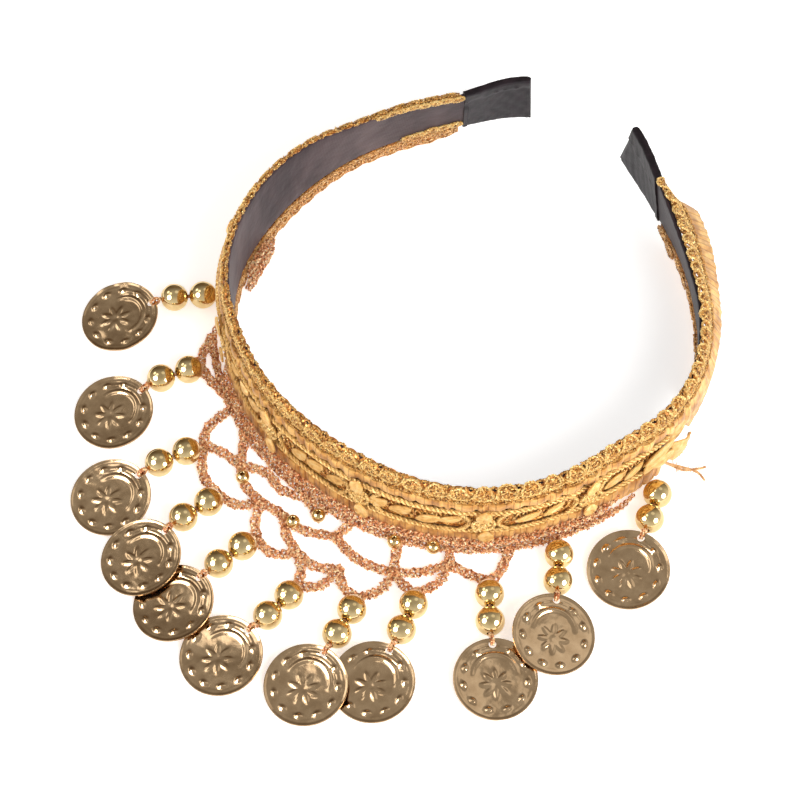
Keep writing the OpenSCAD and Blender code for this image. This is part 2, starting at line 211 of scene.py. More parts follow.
def speckle(tree, size, detail=2.0, stretch=(1, 1, 1)):
    """Soft random patches of about that size in millimetres"""
    place = put(tree, "TexCoord").outputs["Object"]
    wide = put(tree, "Mapping", {"Vector": place, "Scale": stretch})
    noise = {"Vector": wide.outputs["Vector"], "Scale": 1 / (size * MM), "Detail": detail}
    return put(tree, "TexNoise", noise).outputs["Fac"]


def shaded(tree, shader, factor, tones, low=0.3, high=0.7):
    """Colours the surface from the first tone to the last as the factor rises"""
    ramp = put(tree, "ValToRGB", {"Fac": factor})
    ends = ramp.color_ramp.elements
    for place in np.linspace(low, high, len(tones))[1:-1]:
        ends.new(place)
    for end, place, tone in zip(ends, np.linspace(low, high, len(tones)), tones):
        end.position = place
        end.color = colour(tone)
    tree.links.new(ramp.outputs["Color"], shader.inputs["Base Color"])
    return ramp.outputs["Color"]


def along_grain(tree):
    """How far along its grain a point of a piece lies, in millimetres"""
    grain = put(tree, "Attribute", attribute_name="grain").outputs["Vector"]
    return put(tree, "SeparateXYZ", {"Vector": grain}).outputs["X"]


def ribs(tree, pitch):
    """Fine ribs across the grain of a piece, that many millimetres apart"""
    turns = put(tree, "Math", {0: along_grain(tree), 1: 2 * math.pi / pitch}, operation="MULTIPLY")
    wave = put(tree, "Math", {0: turns.outputs["Value"]}, operation="SINE")
    return wave.outputs["Value"]


def rough_up(tree, shader, height, depth, under=None):
    """Bumps of that depth in millimetres, on top of an earlier normal"""
    bump = put(tree, "Bump", {"Height": height, "Strength": 1.0, "Distance": depth * MM})
    if under is not None:
        tree.links.new(under, bump.inputs["Normal"])
    tree.links.new(bump.outputs["Normal"], shader.inputs["Normal"])
    return bump.outputs["Normal"]


def slant(angle):
    """How far the lower edge runs on past the upper one, which it does only near the right end"""
    return RIGHT_SLANT * np.maximum(0, (angle - TAPE_FROM) / TAPE_SPAN)


def strip_section(angle, grow=0.0, steps=4, inside=7, round_edge=1.0):
    """One round-edged section of the strip, from the inner face's foot up, over and down"""
    taper = STRIP_TAPER * (np.abs(angle) / STRIP_END) ** 3
    low, high = STRIP_FOOT + taper - grow, STRIP_TOP - taper + grow
    half = STRIP_T / 2 + grow
    turn = np.radians(np.linspace(180, 0, steps * 2 + 1))[1:-1]
    edge_off = half + half * np.sign(np.cos(turn)) * np.abs(np.cos(turn)) ** round_edge - grow
    edge_up = half * np.sin(turn) ** round_edge
    face_z = np.linspace(0, 1, inside)
    face = low[:, None] + half + face_z[None, :] * (high - low - 2 * half)[:, None]
    top = high[:, None] - half + edge_up[None, :]
    foot = low[:, None] + half - edge_up[None, ::-1]
    z = np.concatenate([face, top, face[:, ::-1], foot], 1)
    inner, outer = np.full(inside, -grow), np.full(inside, 2 * half - grow)
    off = np.concatenate([inner, edge_off, outer, edge_off[::-1]])
    up = (z - low[:, None]) / (high - low)[:, None]
    return off, z, angle[:, None] + slant(angle)[:, None] * (1 - np.clip(up, 0, 1)), up


satin, tree, shader = new_finish("grey_mauve_satin", SATIN_LIGHT, 0.0, 0.5)
# Painted shade: the satin's tone is darkened towards +X, to a fifth of it 55 mm out, for the right arm's
# lining, which faces away from the light; the patches of tone are at random
across = put(tree, "SeparateXYZ", {"Vector": put(tree, "TexCoord").outputs["Object"]}).outputs["X"]
painted_shade = put(tree, "MapRange", {"Value": across, "From Min": PAINTED_SHADE_FROM * MM, "From Max": PAINTED_SHADE_TO * MM,
                                "To Min": 1.0, "To Max": 0.2})
patches = speckle(tree, 9, 3, (1, 1, 0.5))
tone = put(tree, "Math", {0: patches, 1: painted_shade.outputs["Result"]}, operation="MULTIPLY")
shaded(tree, shader, tone.outputs["Value"], [SATIN_PAINTED_SHADE, SATIN_SHADE, SATIN_LIGHT], 0.05, 0.7)
shader.inputs["Specular IOR Level"].default_value = 0.14
shader.inputs["Sheen Weight"].default_value = 0.05
shader.inputs["Sheen Roughness"].default_value = 0.4
fine = rough_up(tree, shader, ribs(tree, 0.5), 0.012)
rough_up(tree, shader, speckle(tree, 5, 3), 0.35, fine)

angles = np.linspace(-STRIP_END, STRIP_END, STRIP_RINGS)
off, z, spots, up = strip_section(angles)
pucker = PUCKER * (np.sin(angles * 2.3) + np.sin(angles * 5.1 + 1))
near_edge = np.abs(2 * up - 1) ** 4
rings = off_wall(spots, off[None, :] + pucker[:, None] * near_edge, z)
strip = make_piece("satin_strip", [loft(rings)], satin, 70)
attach(strip, "root")
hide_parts("band_core")

# The two end tapes. Black cloth tape wound round each end of the strip, pulled over its tip and
# pressed flat there. Its last turn lies along the face as a raised fold, and it is creased all over.
TAPE_T = 0.6
TAPE_TIP = 1
TAPE_RINGS = 81
LAP_T = 0.42
FOLD_T = 0.26
START_LAP_T = 0.3
CRUMPLE = 0.05
TAPE_SHADE = (20, 14, 18)
TAPE_LIGHT = (43, 33, 38)

tape_black, tree, shader = new_finish("black_end_tape", TAPE_SHADE, 0.0, 0.46)
shaded(tree, shader, speckle(tree, 2.5, 4), [TAPE_SHADE, TAPE_LIGHT], 0.35, 0.75)
shader.inputs["Specular IOR Level"].default_value = 0.2
fine = rough_up(tree, shader, ribs(tree, 0.4), 0.02)
rough_up(tree, shader, speckle(tree, 4.5, 4, (1, 1, 0.5)), 0.35, fine)

# Columns: side of the band, name of the node, share of the height where the fold lies
for side, name, fold_at in ((-1, "tape_left", 0.86), (1, "tape_right", 0.7)):
    share = np.linspace(0, 1, TAPE_RINGS)
    angles = side * (STRIP_END + TAPE_TIP - share * (TAPE_SPAN + TAPE_TIP))
    off, z, spots, height = strip_section(angles, TAPE_T - 0.05, 6, 21, 0.45)
    pinch = np.clip(share / 0.05, 0, 1) ** 0.5
    off = STRIP_T / 2 + (off[None, :] - STRIP_T / 2) * (0.45 + 0.55 * pinch[:, None])
    outer = off > STRIP_T / 2
    run = share[:, None]
    fold = fold_at - 0.05 * run + 0.015 * np.sin(run * 17)
    lap = LAP_T / (1 + np.exp(-(height - fold) * 120))
    lap = lap + FOLD_T * np.exp(-((height - fold) / 0.022) ** 2)
    crease = np.sin(run * 33 + height * 7 + 1.6 * np.sin(height * 9)) * np.sin(height * 15 + run * 9)
    crumple = CRUMPLE * (crease + np.abs(np.sin(run * 9 - height * 11 + side)))
    start_lap = START_LAP_T * (run > 0.93) * (height < 0.62)
    off = off + np.where(outer, 1, -1) * (lap - LAP_T + crumple + start_lap)
    rings = off_wall(spots, off, z)
    if side > 0:
        rings = rings[::-1]
    tape = make_piece(f"end_{name}", [loft(rings)], tape_black, 32)
    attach(tape, "root")
    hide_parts(name)

# The looped edging. Lurex yarn worked in a row of open oval loops, each with a small rosette in
# it, over a glittering ground. It is sewn along the strip's outer face and rolls in over its edge.
TRIM_FROM = -149
TRIM_TO = 149
TRIM_CLOSE = 7
BRAID_TO = 75.1
TRIM_TOP = 28.3
TAPER_GAP = 0.4
SEWN = STRIP_T + 0.2
MM_PER_DEGREE = 1.06
EDGING_FOOT = 22.4
RIBBON_FOOT = 18.6
# Columns: height, share of the belly
BELLY = np.array([[0, 0.35], [9, 0.6], [RIBBON_FOOT, 1], [EDGING_FOOT, 0.45], [TRIM_TOP, 0]])
SCALLOP_STEP = 5
SCALLOP_DIP = 1.1
ROLL_R = 0.9
ROLL_AT = STRIP_TOP - 0.75 - EDGING_FOOT
ROLLED = ROLL_AT + ROLL_R * np.pi / 2
OVAL_LONG = 2.2
OVAL_FLAT = 1.45
# The ovals are flat up to the first of these angles, and rounder by this much from the second on
OVAL_ROUNDER = 0.75
ROUNDER_FROM = 5
ROUNDER_TO = 30
OVAL_YARN = 0.42
ROSETTE_LONG = 1.15
ROSETTE_YARN = 0.34
EYE_R = 0.32
EYE_YARN = 0.28
JOINT_YARN = 0.3
LINE_STEP = 0.3
FIBRES = 260
FIBRE_R = 0.17
INNER_LOOP_STEP = 3.1
INNER_LOOP_YARN = 0.36
EDGING_SHADE = (156, 98, 38)
EDGING_GOLD = (220, 158, 78)
EDGING_PALE = (253, 222, 150)


def near_end(angle):
    d = np.minimum(angle - TRIM_FROM, TRIM_TO - angle) / TRIM_CLOSE
    t = np.clip(d, 0, 1)
    return 1 - t * t * (3 - 2 * t)


def trim_place(angle, off, z):
    """How far off the strip and how high a point of the trim lies: the trim narrows at both ends"""
    end = near_end(angle)
    low = STRIP_FOOT + STRIP_TAPER + TAPER_GAP
    high = STRIP_TOP - STRIP_TAPER + TAPER_GAP
    height = z * (1 - end) + (low + z / TRIM_TOP * (high - low)) * end
    belly = plan_at(angle, FLARE) * np.interp(z, BELLY[:, 0], BELLY[:, 1])
    return SEWN + off + belly * (1 - end), height


def on_trim(angle, off, z):
    """Points on the trim, off millimetres in front of the sewn face"""
    angle, off, z = np.broadcast_arrays(*(np.asarray(v, float) for v in (angle, off, z)))
    stand, height = trim_place(angle, off, z)
    return off_wall(angle, stand, height)


def ways_across(path, up, joined=False):
    """Two ways square to a path and to each other; up is a way that the path never runs"""
    if joined:
        ahead = unit(np.roll(path, -1, 0) - np.roll(path, 1, 0))
    else:
        ahead = unit(np.gradient(path, axis=0))
    side = unit(np.cross(ahead, up))
    return side, np.cross(ahead, side)


def tube(path, radius, sides, up, joined=False):
    """A round yarn along a path"""
    side, over = ways_across(path, up, joined)
    turn = full_turn(sides)
    out = side[:, None] * np.cos(turn)[None, :, None] + over[:, None] * np.sin(turn)[None, :, None]
    radius = np.broadcast_to(radius, len(path))
    return loft(path[:, None] + out * radius[:, None, None], joined)


def plied(path, radius, plies, pitch, sides, up, joined=False):
    """Yarns twisted together round a path, as wide in all as twice the radius"""
    side, over = ways_across(path, up, joined)
    along = run_along(path)
    if joined:
        length = np.linalg.norm(np.roll(path, -1, 0) - path, axis=1).sum()
        pitch = length / max(1, round(length / pitch))
    radius = np.broadcast_to(radius, len(path))
    thin = radius / (2.15 if plies > 2 else 2)
    yarns = []
    for k in range(plies):
        turn = 2 * np.pi * (along / pitch + k / plies)
        lay = side * np.cos(turn)[:, None] + over * np.sin(turn)[:, None]
        yarns.append(tube(path + lay * (radius - thin)[:, None], thin, sides, up, joined))
    return yarns


def out_of_trim(angle, z):
    plan = outward(np.asarray(angle, float), np.asarray(z, float))
    return np.concatenate([plan, np.zeros_like(plan[..., :1])], -1)


def trim_face(angle, off, z):
    """Points on the trim with the way that it looks there"""
    return on_trim(angle, off, z), out_of_trim(angle, z)


def over_edge(angle, off, climb):
    """Points on the edging that far above its foot, rolled in over the edge, and the way it looks"""
    angle, off, climb = np.broadcast_arrays(*(np.asarray(v, float) for v in (angle, off, climb)))
    bend = np.clip((climb - ROLL_AT) / ROLL_R, 0, np.pi / 2)
    flat = np.maximum(climb - ROLLED, 0)
    face = np.minimum(climb, ROLL_AT)
    taper = STRIP_TAPER * (np.abs(angle) / STRIP_END) ** 3 * (1 - near_end(angle)) * face / ROLL_AT
    rolled_off = (ROLL_R + off) * np.cos(bend) - ROLL_R - flat
    stand, height = trim_place(angle, rolled_off, EDGING_FOOT + face - taper)
    height = height + (ROLL_R + off) * np.sin(bend)
    plan = outward(angle, height) * np.cos(bend)[..., None]
    return off_wall(angle, stand, height), np.concatenate([plan, np.sin(bend)[..., None]], -1)


def ground_skin(surface, angles, back, front, across):
    """A closed skin over a surface, between two depths given at each height across it"""
    depth = np.concatenate([np.broadcast_to(back, front.shape), front], 1)
    return loft(surface(angles[:, None], depth, np.concatenate([across, across[:, ::-1]], 1))[0])


def oval(surface, angle, z, half_long, half_high, off, count, lobes=0, lobe_depth=0.0, tilt=0.0):
    """A closed path on a surface: an oval, or a rosette where it has lobes"""
    turn = full_turn(count)
    reach = 1 + lobe_depth * np.cos(lobes * turn)
    u = half_long * reach * np.cos(turn)
    v = half_high * reach * np.sin(turn)
    lean = math.radians(tilt)
    u, v = u * math.cos(lean) - v * math.sin(lean), u * math.sin(lean) + v * math.cos(lean)
    return surface(angle + u / MM_PER_DEGREE, off, z + v)


def glitter(tree, size, strength):
    """Tiny flat facets that each catch the light their own way"""
    place = put(tree, "TexCoord").outputs["Object"]
    cells = put(tree, "TexVoronoi", {"Vector": place, "Scale": 1 / (size * MM)})
    lean = put(tree, "VectorMath", {0: cells.outputs["Color"], 1: (0.5, 0.5, 0.5)}, operation="SUBTRACT")
    more = put(tree, "VectorMath", {0: lean.outputs["Vector"], "Scale": strength}, operation="SCALE")
    face = put(tree, "NewGeometry").outputs["Normal"]
    total = put(tree, "VectorMath", {0: face, 1: more.outputs["Vector"]}, operation="ADD")
    normal = put(tree, "VectorMath", {0: total.outputs["Vector"]}, operation="NORMALIZE")
    return normal.outputs["Vector"], cells.outputs["Color"]


def glittering_yarn(name, metallic, roughness, tones, low, high, size=0.35, strength=0.5, rib=0.45,
                    depth=0.08):
    """Metallic yarn: flecks in tones from deep to pale, each with a lean of its own, over fine ribs; the
    deep flecks are painted shade and the pale ones painted glints
    """
    yarn, tree, shader = new_finish(name, tones[-1], metallic, roughness)
    facets, flecks = glitter(tree, size, strength)
    shaded(tree, shader, flecks, tones, low, high)
    rough_up(tree, shader, ribs(tree, rib), depth, facets)
    return yarn


# In both edging yarns the palest flecks are painted glints; the deepest flecks of the loop yarn are painted
# shade for the gaps between them
lurex = glittering_yarn("gold_lurex_yarn", 0.4, 0.36, [
    (112, 70, 26), EDGING_SHADE, EDGING_GOLD, (230, 180, 98), EDGING_PALE], 0.15, 0.85)
pale_lurex = glittering_yarn("pale_lurex_yarn", 0.35, 0.34, [
    (204, 146, 72), (238, 190, 108), EDGING_PALE], 0.1, 0.7, strength=0.4)

# The ground's flecks run from painted shade, for the gaps between loops and cords, to painted glints, over
# its own orange gold; each fleck also leans its own way
ground_gold, tree, shader = new_finish("glitter_ground", EDGING_SHADE, 0.5, 0.36)
facets, flecks = glitter(tree, 0.45, 1.0)
shaded(tree, shader, flecks, [(120, 66, 20), (176, 106, 40), (222, 152, 70), (250, 204, 120)], 0.2, 0.85)
tree.links.new(facets, shader.inputs["Normal"])


def scallop(angle):
    return SCALLOP_DIP * (1 - np.abs(np.sin(np.pi * (angle - TRIM_FROM) / SCALLOP_STEP)))


rng = np.random.default_rng(11)
angles = np.arange(TRIM_FROM, TRIM_TO + 0.1, 0.5)
rim = ROLLED + 0.35 - scallop(angles)
climbs = 0.1 + np.linspace(0, 1, 14)[None, :] * (rim - 0.1)[:, None]
bumps = 0.3 + 0.16 * rng.random(climbs.shape)
edging_ground = [ground_skin(over_edge, angles, 0.06, bumps, climbs)]
outlines, loops = [], []
for middle in np.arange(TRIM_FROM + SCALLOP_STEP / 2, TRIM_TO, SCALLOP_STEP):
    sway = rng.normal(0, 1, 6)
    round_share = np.interp(middle, [ROUNDER_FROM, ROUNDER_TO], [0, 1])
    high = OVAL_FLAT + OVAL_ROUNDER * round_share + 0.1 * sway[1]
    place = middle + 0.25 * sway[0]
    rise = 3.5 + 0.45 * round_share + 0.12 * sway[4]
    path, up = oval(over_edge, place, rise, OVAL_LONG + 0.12 * sway[5], high, 0.62, 32, tilt=7 * sway[2])
    outlines += plied(path, OVAL_YARN, 2, 1.7, 5, up, True)
    path, up = oval(over_edge, place, rise, ROSETTE_LONG, 0.75 * high, 0.5, 40, 5, 0.3, 30 * sway[3])
    loops.append(tube(path, ROSETTE_YARN, 5, up, True))
    path, up = oval(over_edge, place, rise, EYE_R, EYE_R, 0.62, 8)
    loops.append(tube(path, EYE_YARN, 5, up, True))
for joint in np.arange(TRIM_FROM + SCALLOP_STEP, TRIM_TO - 1, SCALLOP_STEP):
    for way in (-1, 1):
        t = np.linspace(-1, 1, 9)
        spots = joint + way * t * (0.8 + 0.4 * rng.random())
        path, up = over_edge(spots, 0.72 + 0.15 * way * (1 - t * t), 3.3 + 1.7 * t + 0.4 * rng.normal())
        outlines += plied(path, JOINT_YARN, 2, 1.2, 5, up)
spots = np.arange(TRIM_FROM, TRIM_TO + 0.05, LINE_STEP)
wander = 0.12 * np.sin(spots * 1.1) + 0.08 * np.sin(spots * 2.7)
# Columns: height of the line, how far it dips at each scallop, shift, how far off it lies, thickness
for low, dip, shift, off, thick in (
        (0.75, 0.35, 0, 0.8, 0.36), (1.55, 0.5, 0.5, 0.6, 0.32), (ROLLED + 0.1, 0.45, 0, 0.3, 0.42),
        (ROLLED - 0.8, 0.5, 0.5, 0.38, 0.34)):
    swag = low - dip * np.abs(np.sin(np.pi * ((spots - TRIM_FROM) / SCALLOP_STEP + shift))) + wander
    path, up = over_edge(spots, off + 0.08 * np.sin(spots * 3.3), swag)
    loops += plied(path, thick, 2, 1.6, 5, up)
for _ in range(FIBRES):
    spot = rng.uniform(TRIM_FROM + 1, TRIM_TO - 1)
    start = rng.uniform(0.8, ROLLED + 0.2)
    t = np.linspace(-1, 1, 5)
    turn = rng.uniform(0, np.pi)
    reach = rng.uniform(0.5, 0.9)
    climb = np.clip(start + reach * t * np.sin(turn), 0.3, ROLLED + 0.4)
    path, up = over_edge(spot + reach * t * np.cos(turn), 0.35 + 0.4 * (1 - t * t), climb)
    loops.append(tube(path, FIBRE_R, 4, up))


def inner_face(angle, off, z):
    """Points on the strip's inner face with the way that it looks there"""
    return off_wall(angle, -off, z), -out_of_trim(angle, z)


# Columns: first and last angle of a row of loops on the inner face, its height, how far it climbs
for first, last, height, climb in ((-148, -126, 25.6, 1.6), (-148, -134, 9.6, -0.9)):
    for middle in np.arange(first, last, INNER_LOOP_STEP):
        sway = rng.normal(0, 1, 3)
        far = (middle - first) / (last - first)
        place = height + climb * far + 0.2 * sway[0]
        path, up = oval(inner_face, middle, place, 1.9, 1.25 - 0.5 * far, 0.3, 28, tilt=9 * sway[1])
        outlines += plied(path, INNER_LOOP_YARN, 2, 1.6, 5, up, True)
        path, up = oval(inner_face, middle, place, 0.95, 0.6 - 0.3 * far, 0.32, 20, 4, 0.25, 20 * sway[2])
        loops.append(tube(path, INNER_LOOP_YARN, 5, up, True))
for name, parts, finish, slot in (
        ("edging_outlines", outlines, pale_lurex, "gold_edging"),
        ("edging_loops", loops, lurex, "gold_edging"),
        ("edging_ground", edging_ground, ground_gold, "glitter")):
    edging = make_piece(name, parts, finish)
    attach(edging, "root")
    if name == "edging_ground":
        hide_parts("edging_top")

# The foot edging. The same looped lurex, sewn to the strip's lower edge inside the trim, so that it
# shows through the open end of the band. It leaves a bare stretch beside the braid's loose end.
FOOT_EDGING_SPANS = ((TRIM_FROM, 77), (95, TRIM_TO))
FOOT_EDGING_MID = 0.45
FOOT_RISE = 3
FOOT_GAP = 0.4
FOOT_LOOP_LONG = 2.1
FOOT_LOOP_YARN = 0.34
FOOT_EYE_LONG = 1.0
FOOT_EYE_YARN = 0.36
FOOT_LINE_STEP = 0.32
FOOT_LINE_YARN = 0.32
# How much further the loops on the right arm stand in
FOOT_TUFT = 0.5
FOOT_GOLD = (202, 148, 84)


def foot_place(angle, off, share):
    """Points on the foot edging: share runs from its hem, at 0, to the strip's lower edge, at 1"""
    angle, off, share = np.broadcast_arrays(*(np.asarray(v, float) for v in (angle, off, share)))
    hem = 0.15 + scallop(angle) / 2 + FOOT_RISE * near_end(angle)
    top = STRIP_FOOT + STRIP_TAPER * (np.abs(angle) / STRIP_END) ** 3 - FOOT_GAP
    height = hem + share * (top - hem)
    return off_wall(angle, FOOT_EDGING_MID + off, height), out_of_trim(angle, height)


# The palest flecks of this yarn are painted glints and the deepest painted shade, as in the other edging
# yarns
dull_lurex = glittering_yarn("dull_lurex_yarn", 0.4, 0.38, [
    (138, 88, 46), FOOT_GOLD, (228, 178, 112), (250, 214, 160)], 0.15, 0.85)

foot_loops, foot_ground = [], []
for first, last in FOOT_EDGING_SPANS:
    angles = np.arange(first, last + 0.01, 0.5)
    shares = np.linspace(0, 1, 8)[None, :].repeat(len(angles), 0)
    bumps = 0.28 + 0.16 * rng.random(shares.shape)
    foot_ground.append(ground_skin(foot_place, angles, -bumps, bumps, shares))
    for middle in np.arange(first + SCALLOP_STEP / 2, last - 1, SCALLOP_STEP):
        # Behind the lower ribbon only the inner side is worked
        for side in ((-1,) if middle < BRAID_TO else (-1, 1)):
            sway = rng.normal(0, 1, 2)
            turn = full_turn(24)
            tuft = FOOT_TUFT * (first > 0) * (side < 0) * (1 + 0.3 * sway[0])
            spots = middle + 0.1 * sway[0] + FOOT_LOOP_LONG * np.cos(turn)
            path, up = foot_place(spots, side * 0.42 - tuft, 0.45 + 0.4 * np.sin(turn + 0.05 * sway[1]))
            foot_loops += plied(path, FOOT_LOOP_YARN + 0.3 * tuft, 2, 1.5, 5, up, True)
            spots = middle + FOOT_EYE_LONG * np.cos(turn)
            path, up = foot_place(spots, side * 0.5 - tuft, 0.5 + 0.2 * np.sin(turn))
            foot_loops.append(tube(path, FOOT_EYE_YARN, 5, up, True))
    spots = np.arange(first + 0.5, last - 0.4, FOOT_LINE_STEP)
    for share in (0.9, 0.72):
        path, up = foot_place(spots, -0.45, share + 0.07 * np.sin(spots * 1.26))
        foot_loops += plied(path, FOOT_LINE_YARN, 2, 1.6, 5, up)
for name, parts, finish, slot in (
        ("foot_edging_loops", foot_loops, dull_lurex, "gold_edging"),
        ("foot_edging_ground", foot_ground, ground_gold, "glitter")):
    foot_edging = make_piece(name, parts, finish)
    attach(foot_edging, "root")
    if name == "foot_edging_ground":
        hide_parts("edging_foot")

# The two flat ribbons. Gold satin ribbon laid along the band in short overlapping pleats. The lower
# one ends with the braid on the right, where the upper one widens and goes on alone down the arm.
WIDEN_FROM = 80.1
WIDEN_TO = 85.1
RIBBON_T = 1.7
RIBBON_LOW_H = 6.6
RIBBON_LOW_T = 2.0
CORD_UPPER_D = 1.5
CORD_LOWER_D = 1.3
ROW_GAP = 0.15
RIBBON_STEP = 0.26
RIBBON_ACROSS = 13
PLEATED_RUN = 340
FOLD_SPACING = 1.8
RIBBON_SHADE = (172, 112, 44)
RIBBON_GOLD = (216, 156, 75)
RIBBON_LIGHT = (248, 199, 115)

cord_upper_z = RIBBON_FOOT - CORD_UPPER_D / 2
cord_lower_z = RIBBON_LOW_H + CORD_LOWER_D / 2
channel_low = cord_lower_z + CORD_LOWER_D / 2 + ROW_GAP
channel_high = cord_upper_z - CORD_UPPER_D / 2 - ROW_GAP
channel_mid = (channel_low + channel_high) / 2


def ribbon_rings(angles, z0, z1, thick, shortest, longest, seed):
    """Sections of a pleated ribbon: each pleat rises along its length and drops to the next"""
    draw = np.random.default_rng(seed)
    starts = [0.0]
    while starts[-1] < PLEATED_RUN:
        starts.append(starts[-1] + draw.uniform(shortest, longest))
    starts = np.array(starts)
    lifts = draw.uniform(0.3, 0.95, len(starts))
    slants = draw.normal(0, 0.1, len(starts))
    across = np.linspace(1, 0, RIBBON_ACROSS)
    run = (angles - TRIM_FROM)[:, None] * MM_PER_DEGREE
    pleat = np.clip(np.searchsorted(starts, run, side="right") - 1, 0, len(starts) - 2)
    place = run + (across[None, :] - 0.5) * 4 * slants[pleat]
    pleat = np.clip(np.searchsorted(starts, place, side="right") - 1, 0, len(starts) - 2)
    share = np.clip((place - starts[pleat]) / (starts[pleat + 1] - starts[pleat]), 0, 1)
    plain = np.clip((angles - WIDEN_FROM) / 6, 0, 1)[:, None]
    rise = lifts[pleat] * np.sin(np.pi * share ** 1.4) ** 0.8 * (1 - 0.75 * plain)
    belly = 0.3 * (1 - (2 * across - 1) ** 4)[None, :]
    ripple = (0.06 + 0.05 * plain) * np.sin(run * 2.1 + across[None, :] * 3)
    ripple = ripple + 0.05 * plain * np.sin(run * 5.3 + across[None, :] * 8 + 2 * np.sin(run * 0.4))
    front = np.minimum(thick - 1.0 + 0.3 * plain + belly + rise + ripple, thick)
    wave = 0.14 * np.sin(run * 1.3) + 0.08 * np.sin(run * 3.7)
    height = z0[:, None] + 0.1 + across[None, :] * (z1 - z0 - 0.2)[:, None]
    height = np.clip(height + wave * (2 * across[None, :] - 1), z0[:, None], z1)
    back = on_trim(angles[:, None], 0.05, height[:, [-1, RIBBON_ACROSS // 2, 0]])
    return np.concatenate([on_trim(angles[:, None], front, height), back], 1)


def creases(tree, spacing):
    """Thin fold lines across the grain at uneven distances: 0 in a line, 1 between them"""
    turns = put(tree, "Math", {0: along_grain(tree), 1: 1 / spacing}, operation="MULTIPLY")
    lines = put(tree, "TexVoronoi", {"W": turns.outputs["Value"], "Scale": 1.0},
                voronoi_dimensions="1D", feature="DISTANCE_TO_EDGE")
    wide = put(tree, "MapRange", {"Value": lines.outputs["Distance"], "From Min": 0.0, "From Max": 0.12})
    return wide.outputs["Result"]


ribbon_gold, tree, shader = new_finish("gold_satin_ribbon", RIBBON_GOLD, 0.2, 0.42)
patches = speckle(tree, 3.5, 3)
# Painted shade: the ribbon's tone is darkened along its fold lines, down to 0.6 of it, as the shade in the
# creases; the same lines also bump the surface, and the patches of tone are at random
lines = creases(tree, FOLD_SPACING)
painted_crease_shade = put(tree, "MapRange", {"Value": lines, "To Min": 0.6})
tone = put(tree, "Math", {0: patches, 1: painted_crease_shade.outputs["Result"]}, operation="MULTIPLY")
shaded(tree, shader, tone.outputs["Value"], [RIBBON_SHADE, RIBBON_GOLD, RIBBON_LIGHT], 0.28, 0.62)
shader.inputs["Sheen Weight"].default_value = 0.2
fine = rough_up(tree, shader, ribs(tree, 0.3), 0.03)
fine = rough_up(tree, shader, lines, 0.06, fine)
rough_up(tree, shader, speckle(tree, 1.1, 3), 0.12, fine)

long_run = np.arange(TRIM_FROM, TRIM_TO + 0.05, RIBBON_STEP)
short_run = long_run[long_run < BRAID_TO]
upper_foot = np.interp(long_run, [WIDEN_FROM, WIDEN_TO], [RIBBON_FOOT + ROW_GAP, channel_low])
# Columns: name, node, angles, foot, top, thickness, shortest and longest pleat, seed of the draw
for name, node, angles, z0, z1, thick, shortest, longest, seed in (
        ("ribbon_pleats_upper", "ribbon_upper", long_run, upper_foot, EDGING_FOOT - ROW_GAP,
         RIBBON_T, 1.6, 6.0, 5),
        ("ribbon_pleats_lower", "ribbon_lower", short_run, np.zeros(len(short_run)), RIBBON_LOW_H - ROW_GAP,
         RIBBON_LOW_T, 1.8, 5.0, 8)):
    ribbon = make_piece(name, [loft(ribbon_rings(angles, z0, z1, thick, shortest, longest, seed))],
                        ribbon_gold, 35)
    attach(ribbon, "root")
    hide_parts(node)

# The two twisted cords. Two plies of metallic yarn twisted hard, so that the plies show as a row
# of bright beads, couched along the edges of the sunk channel. Dashes of it hem the lower ribbon.
CORD_PITCH = 2.5
CORD_STEP = 0.28
DASH_STEP = 1.75
DASH_HALF = 0.62
DASH_R = 0.3
DASH_Z = 0.95
CORD_SHADE = (140, 90, 44)
CORD_LIGHT = (248, 209, 136)

# The cord's tone runs at random in tiny patches from painted shade to painted highlights, about its own
# gold, for the light and shade on its twisted plies
cord_gold, tree, shader = new_finish("twisted_gold_cord", CORD_LIGHT, 0.35, 0.34)
shaded(tree, shader, speckle(tree, 0.8, 2), [CORD_SHADE, (237, 191, 112), CORD_LIGHT], 0.25, 0.65)
rough_up(tree, shader, ribs(tree, 0.3), 0.05)

for name, node, height, thick in (
        ("twisted_cord_upper", "cord_upper", cord_upper_z, CORD_UPPER_D),
        ("twisted_cord_lower", "cord_lower", cord_lower_z, CORD_LOWER_D)):
    spots = np.arange(TRIM_FROM, BRAID_TO, CORD_STEP)
    wander = height + 0.12 * np.sin(spots * 0.31) + 0.05 * np.sin(spots * 1.3)
    path = on_trim(spots, thick / 2 + 0.55, wander)
    cord = make_piece(name, plied(path, thick / 2, 2, CORD_PITCH, 7, out_of_trim(spots, wander)), cord_gold)
    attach(cord, "root")
    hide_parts(node)

rng = np.random.default_rng(14)
dashes = []
for spot in np.arange(TRIM_FROM + 1, BRAID_TO - 1, DASH_STEP):
    t = np.linspace(-1, 1, 7)
    height = DASH_Z + 0.3 * t + 0.12 * rng.normal()
    path, up = trim_face(spot + DASH_HALF * t, RIBBON_LOW_T - 0.6 + 0.3 * (1 - t ** 4), height)
    dashes.append(tube(path, DASH_R, 6, up))
hem = make_piece("couching_stitches", dashes, cord_gold)
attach(hem, "root")

# The sunk channel. A glittering ground between the cords with a zigzag of fine lurex on it, and
# small slanted leaves of folded ribbon that lie one after another along it.
LEAF_STEP = 5.5
LEAF_L = 6.8
LEAF_W = 3.7
LEAF_SLANT = 38
ZIGZAG_PITCH = 3.1
ZIGZAG_STEP = 0.2
ZIGZAG_R = 0.26
# Columns: angle, height, length, width, slant, how far off the trim
END_PETALS = [
    (72.6, 14.2, 9.5, 5.0, 28, 1.9),
    (74.2, 9.6, 8.5, 5.4, -24, 2.1),
    (70.8, 10.6, 7.5, 4.2, 62, 1.7),
    (79.0, 15.4, 9.5, 6.4, 14, 0.5),
    (80.5, 12.4, 7.0, 5.0, 40, 0.4)]
KNOT_CLEAR = 4
KNOT_ANGLES = [-134, -107, -80, -53, -26, 1, 29, 53]


